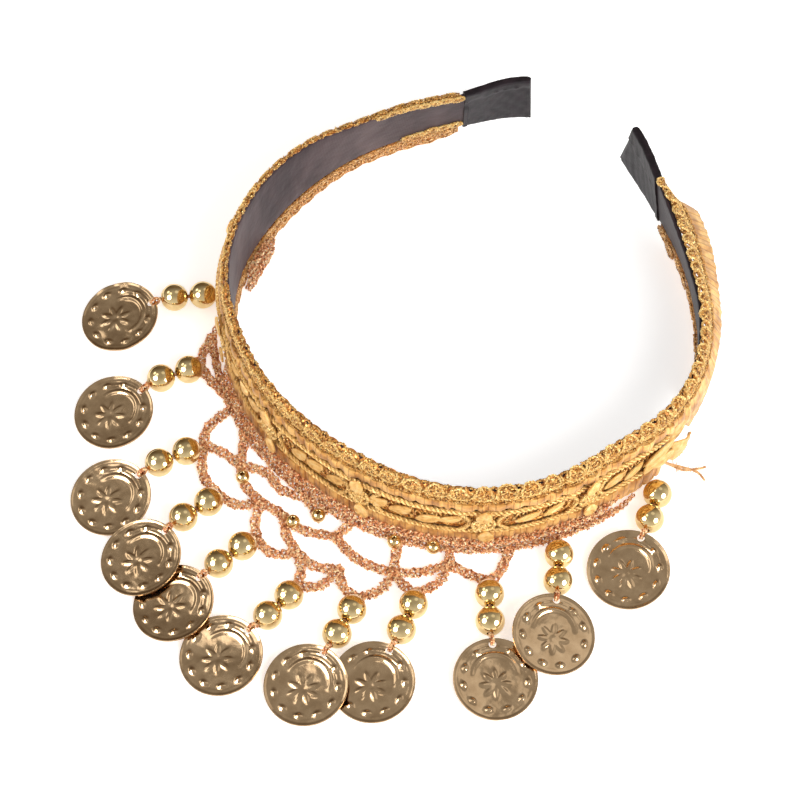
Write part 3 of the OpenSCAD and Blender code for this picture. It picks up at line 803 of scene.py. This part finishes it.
def petal(angle, z, length, width, slant, off, bulge, thick=0.3, fold=0.0, curl=0.0):
    """A leaf of folded ribbon on the trim: pointed at both ends, bulged, with a crease along it"""
    s = np.linspace(-1, 1, 17)[:, None]
    t = np.linspace(1, -1, 9)[None, :]
    broad = np.clip(1 - s * s, 0, 1) ** 0.75 * 0.98 + 0.02
    u0, v0 = s * length / 2, t * width / 2 * broad
    slant = math.radians(slant)
    lean = slant + curl * s
    u = u0 * math.cos(slant) - v0 * np.sin(lean)
    v = u0 * math.sin(slant) + v0 * np.cos(lean)
    rise = bulge * (1 - s * s) * (1 - 0.6 * t * t) - fold * np.exp(-(t * 5) ** 2) * (1 - s * s)
    front = on_trim(angle + u / MM_PER_DEGREE, off + thick + rise, z + v)
    back = on_trim(angle + u / MM_PER_DEGREE, off + 0.7 * rise, z + v)[:, ::-1]
    return loft(np.concatenate([front, back], 1))


leaf_gold, tree, shader = new_finish("pale_leaf_ribbon", RIBBON_LIGHT, 0.25, 0.38)
shaded(tree, shader, speckle(tree, 1.6, 3), [(212, 154, 78), RIBBON_LIGHT, (252, 219, 152)], 0.25, 0.7)
fine = rough_up(tree, shader, ribs(tree, 0.35), 0.06)
rough_up(tree, shader, speckle(tree, 0.9, 3), 0.12, fine)

rng = np.random.default_rng(4)
angles = np.arange(TRIM_FROM, BRAID_TO, 0.6)
heights = np.linspace(channel_low, channel_high, 11)[None, :].repeat(len(angles), 0)
rough = 0.45 + 0.3 * rng.random(heights.shape)
ground = [ground_skin(trim_face, angles, 0.05, rough, heights)]
channel_ground = make_piece("channel_ground", ground, ground_gold)
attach(channel_ground, "root")
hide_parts("channel")

zigzag = []
# Columns: where in its swing the yarn starts, how far it swings
for phase, reach in ((0.0, 2.9), (0.5, 2.2)):
    spots = np.arange(TRIM_FROM + 3, BRAID_TO - 1, ZIGZAG_STEP)
    turn = 2 * np.pi * (spots / ZIGZAG_PITCH + phase)
    swing = np.sin(turn) * reach * (0.8 + 0.2 * np.sin(spots * 0.7))
    path, up = trim_face(spots, 0.85 + 0.12 * np.cos(2 * turn), channel_mid + swing)
    zigzag.append(tube(path, ZIGZAG_R, 5, up))
zigzag_yarn = make_piece("channel_zigzag", zigzag, lurex)
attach(zigzag_yarn, "root")

leaves = []
for spot in np.arange(TRIM_FROM + 6, BRAID_TO - 2, LEAF_STEP):
    if min(abs(spot - knot) for knot in KNOT_ANGLES) > KNOT_CLEAR:
        leaves.append(petal(spot + rng.normal(0, 0.3), channel_mid + rng.normal(0, 0.5), LEAF_L,
                            LEAF_W * rng.uniform(0.85, 1.1), LEAF_SLANT + rng.normal(0, 9), 1.15,
                            bulge=0.5, thick=0.25, fold=0.35, curl=rng.normal(0, 0.25)))
for spot, height, length, width, lean, off in END_PETALS:
    leaves.append(petal(spot, height, length, width, lean, off, bulge=0.6, fold=0.45, curl=0.2))
channel_leaves = make_piece("ribbon_leaves", leaves, leaf_gold, 60)
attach(channel_leaves, "root")
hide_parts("channel_leaves")

# The knots. Where a cell of the braid ends, the cords bend to a rounded point on both sides of a
# ring of twisted yarn with a rosette in it, and a petal of ribbon is folded over each ribbon.
KNOT_OFF = RIBBON_LOW_T + 0.35
KNOT_MID = 12.2
UPPER_PETAL_Z = 17.8
LOWER_PETAL_Z = 6.2
KNOT_YARN = 0.55
CELL_END_YARN = 0.58
CELL_END_HALF = 4.7

rng = np.random.default_rng(21)
knot_petals, knot_rings, cell_ends = [], [], []
for spot in KNOT_ANGLES:
    lean = rng.normal(0, 8)
    for place, height, length, width, slanted in (
            (spot, UPPER_PETAL_Z, 6.0, 3.5, 90 + lean), (spot + 0.6, LOWER_PETAL_Z, 6.2, 3.6, 90 - lean)):
        knot_petals.append(petal(place, height, length, width, slanted, KNOT_OFF,
                                 bulge=0.35, thick=0.4, fold=0.35))
    path, up = oval(trim_face, spot, KNOT_MID, 2.4, 3.0, 1.9, 40, tilt=lean)
    knot_rings += plied(path, KNOT_YARN, 2, 1.8, 6, up, True)
    path, up = oval(trim_face, spot, KNOT_MID, 1.25, 1.5, 1.9, 50, 6, 0.3, lean)
    knot_rings.append(tube(path, 0.34, 5, up, True))
    path, up = oval(trim_face, spot, KNOT_MID, 0.35, 0.4, 2.1, 10)
    knot_rings.append(tube(path, 0.3, 5, up, True))
    for side in (-1, 1):
        t = np.linspace(-1, 1, 29)
        spots = spot + side * (3.2 + 2.6 * t * t) / MM_PER_DEGREE
        path, up = trim_face(spots, 1.35, channel_mid + CELL_END_HALF * t)
        cell_ends += plied(path, CELL_END_YARN, 2, 1.9, 6, up)
for name, parts, finish, slot in (
        ("knot_petals", knot_petals, leaf_gold, "gold_ribbon"),
        ("knot_rings", knot_rings, pale_lurex, "gold_cord"),
        ("cell_ends", cell_ends, cord_gold, "gold_cord")):
    knots = make_piece(name, parts, finish, 60)
    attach(knots, "root")
    if name == "knot_petals":
        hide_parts("ribbon_knots")

# The braid's loose end. The lower ribbon is turned out in a small flap whose free edge is frayed,
# and two frayed threads of the braid's yarn hang out below it.
# Columns: angle, how far the flap stands off, height of its lower and of its upper edge
FLAP = np.array([
    [75.6, 0.9, 6.4, 14.0],
    [78.0, 2.2, 3.8, 12.6],
    [80.5, 2.9, 4.6, 11.0],
    [83.5, 2.3, 7.4, 9.4]])
FLAP_T = 0.45
WISPS = 46
WISP_R = 0.09
FRAYED_YARN = 0.34
HAIRS = 16
HAIR_R = 0.08
FRAY_SHADE = (206, 146, 94)
# Points of the two frayed threads, from the braid outward
FRAYED = [
    [(58.4, -16.6, 7.0), (61.4, -15.6, 5.6), (64.6, -14.6, 5.0), (68.1, -13.7, 4.2), (70.6, -14.4, 3.2)],
    [(58.6, -16.2, 6.2), (61.8, -15.4, 5.0), (65.0, -14.9, 4.4), (68.3, -12.9, 4.8), (69.6, -12.2, 5.6)]]

frayed_yarn, tree, shader = new_finish("frayed_yarn", FRAY_SHADE, 0.2, 0.5)
shaded(tree, shader, speckle(tree, 0.9, 3), [(192, 136, 82), (250, 210, 154)], 0.35, 0.65)
rough_up(tree, shader, ribs(tree, 0.3), 0.04)

rng = np.random.default_rng(31)
flap_angles = np.linspace(FLAP[0, 0], FLAP[-1, 0], 41)
stand, low, high = (np.interp(flap_angles, FLAP[:, 0], FLAP[:, k])[:, None] for k in (1, 2, 3))
across = np.linspace(1, 0, 13)[None, :]
height = low + across * (high - low)
curl = 0.4 * np.sin(across * np.pi) * np.sin((flap_angles[:, None] - FLAP[0, 0]) * 0.5)
off = stand + curl + 0.12 * np.sin(across * 9 + flap_angles[:, None] * 0.9)
rings = np.concatenate([on_trim(flap_angles[:, None], off + FLAP_T, height),
                        on_trim(flap_angles[:, None], off, height)[:, ::-1]], 1)
flap = make_piece("ribbon_flap", [loft(rings)], leaf_gold, 50)
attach(flap, "root")
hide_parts("ribbon_tail")

fray = []
for _ in range(WISPS):
    spot = rng.uniform(78, 83.4)
    stand, low = (np.interp(spot, FLAP[:, 0], FLAP[:, c]) for c in (1, 2))
    t = np.linspace(0, 1, 6)
    wisp = on_trim(spot + rng.uniform(0.2, 0.9) * t, stand + 0.25 + rng.normal(0, 0.2) * t,
                   low + 0.3 - rng.uniform(0.6, 1.5) * t)
    fray.append(tube(wisp, WISP_R, 4, np.array([0.2, 0.1, 1.0])))


def eased(points, step):
    """A smooth path through the given points, stepped evenly"""
    points = np.array(points, float)
    longer = np.vstack([2 * points[0] - points[1], points, 2 * points[-1] - points[-2]])
    dense = []
    for near in zip(longer, longer[1:], longer[2:], longer[3:]):
        dense += [smooth(*near, t) for t in np.linspace(0, 1, 24, endpoint=False)]
    dense = np.array(dense + [points[-1]])
    along = run_along(dense)
    even = np.linspace(0, along[-1], max(6, int(along[-1] / step)))
    return np.stack([np.interp(even, along, dense[:, k]) for k in range(dense.shape[1])], -1)


upward = np.array([0.0, 0.0, 1.0])
for route in FRAYED:
    path = eased(route, 0.25)
    fray += plied(path, FRAYED_YARN, 3, 1.7, 5, upward)
    for _ in range(HAIRS):
        start = path[int(rng.uniform(0.35, 1.0) * (len(path) - 1))]
        t = np.linspace(0, 1, 5)[:, None]
        fray.append(tube(start + t * rng.normal(0, 0.75, 3), HAIR_R, 4, np.array([0.3, 0.2, 1.0])))
frayed = make_piece("frayed_threads", fray, frayed_yarn)
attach(frayed, "root")

# The crocheted net. Rose-gold metallic yarn worked in chains: a double chain runs along the foot
# of the trim, and the others join it in loose diamonds that lie on the table.
STRAND_D = 2.4
STRAND_Z = STRAND_D / 2
HEAD_OFF = RIBBON_LOW_T + 0.8 + STRAND_D / 2
# Columns: first and last angle of a row of the double chain, how far out and how far up it lies
HEAD_ROWS = [
    (-65, 66.8, 0.1, 0.0),
    (-52, 63, -0.95, 1.8)]
MEETING_R = 1.15
# The darkest and the palest tone of the rose yarn are painted shade and painted glints
ROSE_PAINTED_SHADE = (150, 84, 48)
ROSE = (238, 166, 110)
ROSE_PAINTED_GLINT = (255, 228, 182)


def head(angle, out=0.0):
    """A point on the chain that runs along the foot of the trim"""
    stand, _ = trim_place(np.asarray(angle, float), HEAD_OFF + out, 0.0)
    return off_wall(angle, stand, 0.0)[..., :2]


STRANDS = [
    [head(-61), (-56.6, -40.2), (-53.2, -43.6), head(-44)],
    [head(-41), (-44.6, -56.6), (-43.4, -61.9)],
    [head(-35), (-34.6, -56.8), (-32.2, -62.8)],
    [(-43.4, -61.9), (-37.6, -61.6), (-32.2, -62.8)],
    [(-43.4, -61.9), (-38.6, -69.6), (-31.8, -72.8)],
    [(-31.8, -72.8), (-26.8, -72.8), (-22.6, -69.6)],
    [(-32.2, -62.8), (-28.6, -67.0), (-22.6, -69.6)],
    [(-32.2, -62.8), (-25.4, -61.6), (-19.8, -64.2), (-13.2, -63.6), (-8.0, -66.8)],
    [(-22.6, -69.6), (-20.8, -75.4), (-17.8, -79.4)],
    [(-22.6, -69.6), (-16.0, -70.4), (-12.6, -74.6), (-7.6, -77.8)],
    [(-16.0, -70.4), (-9.6, -71.6), (-1.8, -69.6)],
    [(-17.8, -79.4), (-12.6, -80.6), (-7.6, -77.8)],
    [(-7.6, -77.8), (-4.6, -81.4), (-3.6, -85.6)],
    [(-7.6, -77.8), (-2.2, -79.0), (3.2, -77.0)],
    [(-3.6, -85.6), (1.4, -83.2), (3.2, -77.0)],
    [(3.2, -77.0), (6.6, -80.8), (10.8, -81.8)],
    [(10.8, -81.8), (14.6, -77.4), (15.2, -71.8)],
    [(-1.8, -69.6), (4.6, -72.2), (9.6, -72.6), (15.2, -71.8)],
    [(15.2, -71.8), (19.0, -73.6), (22.4, -74.2)],
    [(22.4, -74.2), (25.8, -69.4), (26.0, -63.4)],
    [(15.2, -71.8), (20.8, -68.6), (26.0, -63.4)],
    [(26.0, -63.4), (31.4, -63.6), (36.0, -63.2)],
    [head(35), (37.6, -59.8), (36.0, -63.2)],
    [head(45.5), (46.4, -45.9)],
    [head(-7), (-8.0, -66.8)],
    [head(0), (-1.8, -69.6)],
    [head(22), (26.0, -63.4)],
    [head(11), (13.6, -67.6), (15.2, -71.8)]]


def chain(path, draw, width=0.98, height=0.45, yarn=0.52, period=4.4, slim=1.0):
    """A crocheted chain as three yarns that pass over each other, each of two twisted plies"""
    side = ways_across(path, upward)[0]
    along = run_along(path)
    start = draw.uniform(0, 1)
    loose = (1 + 0.2 * np.sin(along * 1.7 + draw.uniform(0, 6))) * slim
    yarns = []
    for k in range(3):
        turn = 2 * np.pi * (along / period + start + k / 3)
        centre = path + side * (width * loose * np.sin(turn))[:, None]
        centre = centre + upward * (height * slim * np.sin(2 * turn))[:, None]
        yarns += plied(centre, yarn * slim, 2, 1.3, 5, upward)
    return yarns


# The rose yarn's darkest flecks are painted shade for the gaps in the chain and its palest are painted
# glints, round its own rose gold
rose_yarn = glittering_yarn("rose_gold_yarn", 0.3, 0.34, [
    ROSE_PAINTED_SHADE, (208, 130, 84), ROSE, (252, 202, 148), ROSE_PAINTED_GLINT], 0.18, 0.76, 0.45, 0.42, 0.4, 0.06)

rng = np.random.default_rng(7)
chains = []
for strand in STRANDS:
    flat = eased(strand, 0.3)
    chains += chain(np.column_stack([flat, np.full(len(flat), STRAND_Z)]), rng)
for first, last, out, lift in HEAD_ROWS:
    spots = np.arange(first, last, 0.28)
    slim = np.clip(0.45 + np.minimum(spots - first, last - spots) / 16, 0, 1)
    height = STRAND_Z + lift + 0.15 * np.sin(spots * 0.9)
    drawn_in = 1.5 * np.clip(1 - np.minimum(spots - first, last - spots) / 7, 0, 1) ** 2
    path = np.column_stack([head(spots, out - drawn_in), height])
    chains += chain(path, rng, 0.82, 0.42, 0.48, slim=slim)
meetings = [tuple(np.round(point, 1)) for strand in STRANDS for point in (strand[0], strand[-1])]
for x, y in sorted(set(meetings)):
    if meetings.count((x, y)) > 1:
        turn = full_turn(22)
        for lean in rng.uniform(0, np.pi, 2):
            reach = MEETING_R * np.cos(turn)
            ring = np.stack([x + reach * np.cos(lean), y + reach * np.sin(lean),
                             STRAND_Z + np.sin(turn)], -1)
            axis = np.array([-np.sin(lean), np.cos(lean), 0.0])
            chains += plied(ring, 0.42, 2, 1.3, 5, axis, True)
net = make_piece("crochet_net", chains, rose_yarn)
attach(net, "root")
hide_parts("net")

# The chain's tail. Its first stitches are tucked under the strip inside the band, on the left.
TAB_IN = 2.2
# Columns: how far up a row of stitches lies, how much nearer the strip, its first and last angle
TAB_ROWS = [
    (0.0, 0.0, -89, -74),
    (STRAND_D * 0.9, 0.1, -90, -73),
    (4.1, 0.9, -88, -76)]

tab = []
for lift, reach, first, last in TAB_ROWS:
    spots = np.linspace(first, last, 60)
    slim = np.clip(0.5 + np.minimum(spots - first, last - spots) / 6, 0, 1)
    tucked = reach - TAB_IN + 0.7 * np.abs((spots + 81) / 9) ** 3
    tab += chain(off_wall(spots, tucked, STRAND_Z + lift), rng, 0.7, 0.4, 0.46, slim=slim)
net_tail = make_piece("net_tail", tab, rose_yarn)
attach(net_tail, "root")
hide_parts("net_tab")

# The beads. Moulded plastic balls plated with mirror gold, drilled through and slightly sunk round
# the bore; small ones are worked into the net, and each drop carries two large ones.
BEAD_D = 7.1
BEAD_LIFT = 0.15
BEAD_TURN = 0.7
BORE_D = 1.7
NET_BEAD_D = 3.5
NET_BORE_D = 1.0
NET_BEADS = [(-29.6, -66.0), (-12.6, -71.2), (-8.0, -66.8), (11.6, -64.6), (20.6, -61.6)]
BEAD_GOLD = (226, 202, 152)

plated, tree, shader = new_finish("mirror_gold_plate", BEAD_GOLD, 1.0, 0.07)
shaded(tree, shader, speckle(tree, 2.2, 3), [(206, 178, 124), BEAD_GOLD], 0.3, 0.7)
rough_up(tree, shader, speckle(tree, 1.6, 2), 0.012)


def bead_skin(diameter, bore, around=48, steps=28):
    """A drilled ball round its own X axis, with a soft lip at both mouths of the bore"""
    radius, hole = diameter / 2, bore / 2
    mouth = math.asin((hole + 0.16) / radius)
    turn = np.linspace(mouth, np.pi - mouth, steps)
    x = radius * np.cos(turn)
    out = radius * np.sin(turn)
    end = x[0]
    lip_x = [-end + 0.02, -end + 0.14, -end + 0.5, 0.0, end - 0.5, end - 0.14, end - 0.02]
    lip_out = [hole + 0.07, hole, hole, hole, hole, hole, hole + 0.07]
    x, out = np.concatenate([x, lip_x]), np.concatenate([out, lip_out])
    spin = full_turn(around)
    ring = np.stack([np.broadcast_to(x[:, None], (len(x), around)), out[:, None] * np.cos(spin)[None],
                     out[:, None] * np.sin(spin)[None]], -1)
    return loft(ring[::-1], True)


def middle_of(node):
    low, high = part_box(node)
    return (low + high) / 2


DROPS = 11
runs = []
for drop in range(1, DROPS + 1):
    inner, outer = (middle_of(f"bead_{row}_{drop:02d}") for row in ("inner", "outer"))
    runs.append((outer - inner).normalized())
    for row, place in (("inner", inner), ("outer", outer)):
        bead = make_piece(f"gilt_bead_{row}_{drop:02d}", [bead_skin(BEAD_D, BORE_D)], plated, 60)
        seat = Matrix.Translation(place + Vector((0, 0, BEAD_LIFT * MM)))
        along = runs[-1].to_track_quat("X", "Z").to_matrix().to_4x4()
        bead.data.transform(seat @ along @ Matrix.Rotation(BEAD_TURN * drop, 4, "X"))
        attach(bead, "root")
        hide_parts(f"bead_{row}_{drop:02d}")

small = []
for x, y in NET_BEADS:
    points, faces, grain = bead_skin(NET_BEAD_D, NET_BORE_D, 28, 16)
    upright = np.stack([points[:, 1] + x, points[:, 2] + y, points[:, 0] + STRAND_D - 0.1], -1)
    small.append((upright, faces, grain))
net_beads = make_piece("small_net_beads", small, plated, 60)
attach(net_beads, "root")
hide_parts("net_beads")

# The coins. Thin brass blanks pressed in a die: a raised rim, a crescent with fine arcs beside the
# hole, a ring of domed dots and a plain eight-petalled star. The pressing shows through behind.
COIN_R = 10
COIN_T = 0.7
HOLE_IN = 1.5
HOLE_D = 1.8
RELIEF_H = 0.3
RIM_W = 0.55
DOTS = 10
DOT_RING = 7.6
DOT_R = 0.75
DOT_H = 0.5
DISH = 0.3
STAR_X = 1.2
STAR_R = 2.7
STAR_WAVE = 0.9
PETALS = 8
ARC_X = -0.9
CRESCENT_R = 5.2
ARC_RINGS = (6.3, 7.0)
LINE_RING = 8.75
EDGE_IN = 0.08
HOLE_SIDES = 24
COIN_REACH = 14.6
COIN_SHADE = (178, 148, 112)
COIN_BRASS = (204, 174, 136)
# Columns: heading of the coin from its beads, how far its near side and its right side are raised,
# height of its lowest point
COIN_LIES = [
    (229, 12, 0, 0),
    (247, 10, 0, 0),
    (247, 11, -2, 0),
    (257, 11.6, 6.4, 0.5),
    (253, 11.4, 7, 0.1),
    (251, 11, 0, 0),
    (269, 11, 0, 0),
    (271, 10, 0, 0),
    (302, 10, -3, 0),
    (292, 9.4, -12, 1),
    (275, 12, 0, 0)]

brass, tree, shader = new_finish("pressed_brass", COIN_BRASS, 1.0, 0.13)
worn = speckle(tree, 3.0, 4)
shaded(tree, shader, worn, [COIN_SHADE, COIN_BRASS], 0.3, 0.7)
fine = rough_up(tree, shader, speckle(tree, 5.5, 2), 0.22)
rough_up(tree, shader, speckle(tree, 0.6, 3), 0.01, fine)


def soft_step(value, edge, width):
    return 1 / (1 + np.exp(-(value - edge) / width * 4))


def relief(x, y):
    """Height of the pressed work over a coin's face"""
    r = np.hypot(x, y)
    rise = 0.55 * RELIEF_H * soft_step(r, COIN_R - RIM_W, 0.15)
    for k in range(1, DOTS + 1):
        turn = math.radians(180 + 360 * k / (DOTS + 1))
        d = np.hypot(x - DOT_RING * math.cos(turn), y - DOT_RING * math.sin(turn)) / DOT_R
        rise = rise + DOT_H * np.clip(1 - d * d, 0, 1) ** 0.75
    star_r = np.hypot(x - STAR_X, y)
    petals = STAR_R + STAR_WAVE * np.cos(PETALS * np.arctan2(y, x - STAR_X))
    rise = rise + 0.7 * RELIEF_H * soft_step(petals, star_r, 0.9) - 0.12 * np.exp(-(star_r / 0.8) ** 2)
    from_arc = np.hypot(x - ARC_X, y)
    ahead = np.clip(1.25 - np.abs(np.arctan2(y, ARC_X - x)) / 1.25, 0, 1) ** 0.5
    crescent = np.exp(-((from_arc - CRESCENT_R) / 0.5) ** 4)
    fine_arcs = sum(np.exp(-((from_arc - arc) / 0.17) ** 2) for arc in ARC_RINGS)
    rise = rise + RELIEF_H * ahead * (crescent + 0.55 * fine_arcs)
    ring = 0.15 * RELIEF_H * np.exp(-((r - LINE_RING) / 0.2) ** 2)
    return rise + ring - DISH * (1 - (r / COIN_R) ** 2)


def coin_skin(draw, rings=34, around=88):
    """A pressed sheet: the face carries the relief, and the back follows it less sharply"""
    share = np.linspace(0, 1, rings + 1)[1:]
    r = COIN_R * share
    turn = full_turn(around)
    x, y = r[:, None] * np.cos(turn)[None], r[:, None] * np.sin(turn)[None]
    waves = draw.normal(0, 1, (5, 4))
    dent = sum(0.045 * w[0] * np.sin(x * w[1] * 0.35 + y * w[2] * 0.35 + w[3] * 3) for w in waves)
    face = relief(x, y) + dent
    front = np.stack([x, y, COIN_T / 2 - 0.1 + face], -1)
    rim = soft_step(r, COIN_R - RIM_W, 0.1)[:, None]
    back = np.stack([x, y, -COIN_T / 2 + 0.15 + 0.7 * face - 0.1 * rim], -1)
    low, high = back[-1], front[-1]
    edge = []
    # Columns: how far the rounded edge stands out, how far down it lies as a share of the thickness
    for out, down in ((0.06, 0.07 / 0.45), (0.08, 0.28 / 0.45)):
        spot = high + (low - high) * down
        spot[:, :2] *= (COIN_R - EDGE_IN + out) / COIN_R
        edge.append(spot)
    sheet = np.concatenate([front, np.array(edge), back[::-1]])
    for ring in (rings - 1, rings + 2):
        sheet[ring, :, :2] *= (COIN_R - EDGE_IN) / COIN_R
    return loft(sheet[::-1])


def drill(piece, x, diameter):
    """Punches the coin's hole"""
    punch_mesh = bpy.data.meshes.new("punch")
    turn = full_turn(HOLE_SIDES)
    ring = np.stack([x + diameter / 2 * np.cos(turn), diameter / 2 * np.sin(turn)], -1)
    ends = [np.column_stack([ring, np.full(HOLE_SIDES, height)]) for height in (-3.0, 3.0)]
    points, faces, _ = loft(np.stack(ends))
    punch_mesh.from_pydata((points * MM).tolist(), [], faces)
    punch = bpy.data.objects.new("punch", punch_mesh)
    bpy.context.scene.collection.objects.link(punch)
    cut = piece.modifiers.new("hole", "BOOLEAN")
    cut.operation = "DIFFERENCE"
    cut.object = punch
    bpy.context.view_layer.update()
    done = bpy.data.meshes.new_from_object(piece.evaluated_get(bpy.context.evaluated_depsgraph_get()))
    piece.modifiers.clear()
    piece.data = done
    bpy.data.objects.remove(punch)


rng = np.random.default_rng(3)
coin_places = []
for drop in range(1, DROPS + 1):
    heading, tilt, roll, lift = COIN_LIES[drop - 1]
    flat = math.cos(math.radians(tilt)) * math.cos(math.radians(roll))
    rise = lift + COIN_R * math.sqrt(1 - flat * flat) + COIN_T / 2 * flat
    outer = middle_of(f"bead_outer_{drop:02d}")
    ahead = Vector((math.cos(math.radians(heading)), math.sin(math.radians(heading)), 0))
    middle = Vector((outer.x, outer.y, rise * MM)) + COIN_REACH * MM * ahead
    place = Matrix.Translation(middle) @ Matrix.Rotation(math.radians(heading), 4, "Z")
    place = place @ Matrix.Rotation(math.radians(tilt), 4, "Y")
    place = place @ Matrix.Rotation(math.radians(roll), 4, "X")
    coin_places.append(place)
    coin = make_piece(f"pressed_coin_{drop:02d}", [coin_skin(rng)], brass, 45)
    drill(coin, HOLE_IN - COIN_R, HOLE_D)
    coin.data.transform(place)
    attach(coin, "root")
    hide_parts(f"coin_{drop:02d}")

# The threads of the drops. A twisted rose-gold thread comes out of the net, runs through both
# beads and ends in a loop through the coin's hole.
THREAD_D = 1.1
RING_R = 1.15
RING_T = 0.34
LOOP_SPREAD = 0.22
LINK_R = 0.4
# How far the thread runs on past its inner bead: the first one has further to go to the trim
LEAD_IN = 0.25
FIRST_LEAD_IN = 1.5
LEAD_OUT = 0.35

rng = np.random.default_rng(9)
threads = []
for drop in range(1, DROPS + 1):
    run = np.array(runs[drop - 1])
    inner = np.array(middle_of(f"bead_inner_{drop:02d}")) / MM
    outer = np.array(middle_of(f"bead_outer_{drop:02d}")) / MM
    into = inner - (BEAD_D / 2 + (FIRST_LEAD_IN if drop == 1 else LEAD_IN)) * run
    out = outer + (BEAD_D / 2 + LEAD_OUT) * run
    t = np.linspace(0, 1, 48)[:, None]
    threads += plied(into * (1 - t) + out * t, THREAD_D / 2, 3, 2.2, 6, upward)
    place = coin_places[drop - 1]
    reach = np.array(place @ Vector(((HOLE_IN - COIN_R - 2 * RING_R) * MM, 0, 0))) / MM
    t = np.linspace(0, 1, 12)[:, None]
    threads += plied((out - 0.4 * run) * (1 - t) + reach * t, LINK_R, 3, 1.4, 5, upward)
    turn = full_turn(28)
    for shift in (-LOOP_SPREAD, LOOP_SPREAD):
        ring = [place @ Vector(((HOLE_IN - COIN_R - RING_R + RING_R * math.cos(a)) * MM, shift * MM,
                                RING_R * math.sin(a) * MM)) for a in turn]
        axis = np.array(place.to_3x3() @ Vector((0, 1, 0)))
        threads += plied(np.array(ring) / MM, RING_T, 2, 1.2, 5, axis, True)
drop_threads = make_piece("twisted_drop_threads", threads, rose_yarn)
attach(drop_threads, "root")
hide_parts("drop_threads")

# The stage. A white table, three soft lamps, two of which show as highlights on every bead, and a
# pale surround that darkens overhead and behind, which is what the flat coins mirror.
LOOK_AT = (-6.9, -26.8, 0)
DISTANCE = 650
VIEW_TURN = 28
VIEW_LIFT = 57
SENSOR = 36
LENS = 117
TABLE_HALF = 3000
TABLE_DOWN = 0.2
TABLE_GLOW = 0.5
LAMPS_AIM_Y = -30
# Columns: way from the band, distance and size in metres, power, lights dull surfaces, seen in mirrors
LAMPS = [
    ((-0.44, -0.67, 0.60), 0.55, 0.32, 3.6, False, True),
    ((0.90, -0.15, 0.42), 0.60, 0.32, 3.6, False, True),
    ((0.66, -0.36, 0.66), 0.90, 0.50, 5.6, True, False)]
# Columns: way to a bright patch of the surround, how sharply it ends, how bright it is
PATCHES = [
    ((-0.72, -0.10, 0.69), 0.982, 2.0),
    ((-0.36, -0.22, 0.907), 0.982, 2.0),
    ((0.20, 0.35, 0.91), 0.965, 0.5)]
PATCH_EDGE = 0.012

camera_data = bpy.data.cameras.new("camera")
camera_data.sensor_width = SENSOR
camera_data.lens = LENS
camera_data.clip_start = 0.01
camera = bpy.data.objects.new("camera", camera_data)
bpy.context.scene.collection.objects.link(camera)
bpy.context.scene.camera = camera
turn, lift = math.radians(VIEW_TURN), math.radians(VIEW_LIFT)
back = Vector((math.sin(turn) * math.cos(lift), -math.cos(turn) * math.cos(lift), math.sin(lift)))
camera.location = Vector(LOOK_AT) * MM + back * (DISTANCE * MM)
camera.rotation_mode = "QUATERNION"
camera.rotation_quaternion = (-back).to_track_quat("-Z", "Y")

floor_mesh = bpy.data.meshes.new("table")
reach = TABLE_HALF * MM
floor_mesh.from_pydata([(-reach, -reach, 0), (reach, -reach, 0), (reach, reach, 0), (-reach, reach, 0)],
                       [], [(0, 1, 2, 3)])
white, tree, shader = new_finish("white_table", (252, 252, 252), 0.0, 0.9)
shader.inputs["Specular IOR Level"].default_value = 0.1
shader.inputs["Emission Color"].default_value = (1, 1, 1, 1)
shader.inputs["Emission Strength"].default_value = TABLE_GLOW
floor_mesh.materials.append(white)
floor = bpy.data.objects.new("table", floor_mesh)
bpy.context.scene.collection.objects.link(floor)
floor.location.z = -TABLE_DOWN * MM

for number, (way, distance, size, power, dull, mirrored) in enumerate(LAMPS):
    lamp_data = bpy.data.lights.new(f"lamp_{number}", "AREA")
    lamp_data.shape = "DISK"
    lamp_data.size = size
    lamp_data.energy = power
    lamp = bpy.data.objects.new(f"lamp_{number}", lamp_data)
    bpy.context.scene.collection.objects.link(lamp)
    aim = Vector(way).normalized()
    lamp.location = Vector((0, LAMPS_AIM_Y * MM, 0)) + aim * distance
    lamp.rotation_mode = "QUATERNION"
    lamp.rotation_quaternion = aim.to_track_quat("Z", "Y")
    lamp.visible_diffuse = dull
    lamp.visible_glossy = mirrored


def toward(tree, way, stops):
    """A tone of the surround that depends on how nearly one looks that way"""
    look = put(tree, "TexCoord").outputs["Generated"]
    near = put(tree, "VectorMath", {0: look, 1: way}, operation="DOT_PRODUCT")
    ramp = put(tree, "ValToRGB", {"Fac": near.outputs["Value"]})
    ends = ramp.color_ramp.elements
    for place, _ in stops[1:-1]:
        ends.new(place)
    for end, (place, light) in zip(ends, stops):
        end.position = place
        end.color = (*light, 1)
    return ramp.outputs["Color"]


surround = bpy.data.worlds.new("surround")
bpy.context.scene.world = surround
surround.use_nodes = True
tree = surround.node_tree
rising = toward(tree, (0, 0, 1), [(0.05, (1, 1, 1)), (0.5, (0.8, 0.79, 0.78)), (0.9, (0.5, 0.49, 0.48))])
behind = toward(tree, (-0.47, 0.88, 0), [(0.25, (1, 1, 1)), (0.8, (0.28, 0.22, 0.16))])
left = toward(tree, (-1, 0, 0), [(0.3, (1, 1, 1)), (1.0, (0.45, 0.42, 0.38))])
dimmed = put(tree, "VectorMath", {0: rising, 1: behind}, operation="MULTIPLY")
sky = put(tree, "VectorMath", {0: dimmed.outputs["Vector"], 1: left}, operation="MULTIPLY")
for way, edge, light in PATCHES:
    patch = toward(tree, way, [(edge, (0, 0, 0)), (edge + PATCH_EDGE, (1, 1, 1))])
    lit = put(tree, "VectorMath", {0: patch, "Scale": light}, operation="SCALE")
    sky = put(tree, "VectorMath", {0: sky.outputs["Vector"], 1: lit.outputs["Vector"]}, operation="ADD")
tree.links.new(sky.outputs["Vector"], tree.nodes["Background"].inputs["Color"])
bpy.context.scene.view_settings.view_transform = "Standard"
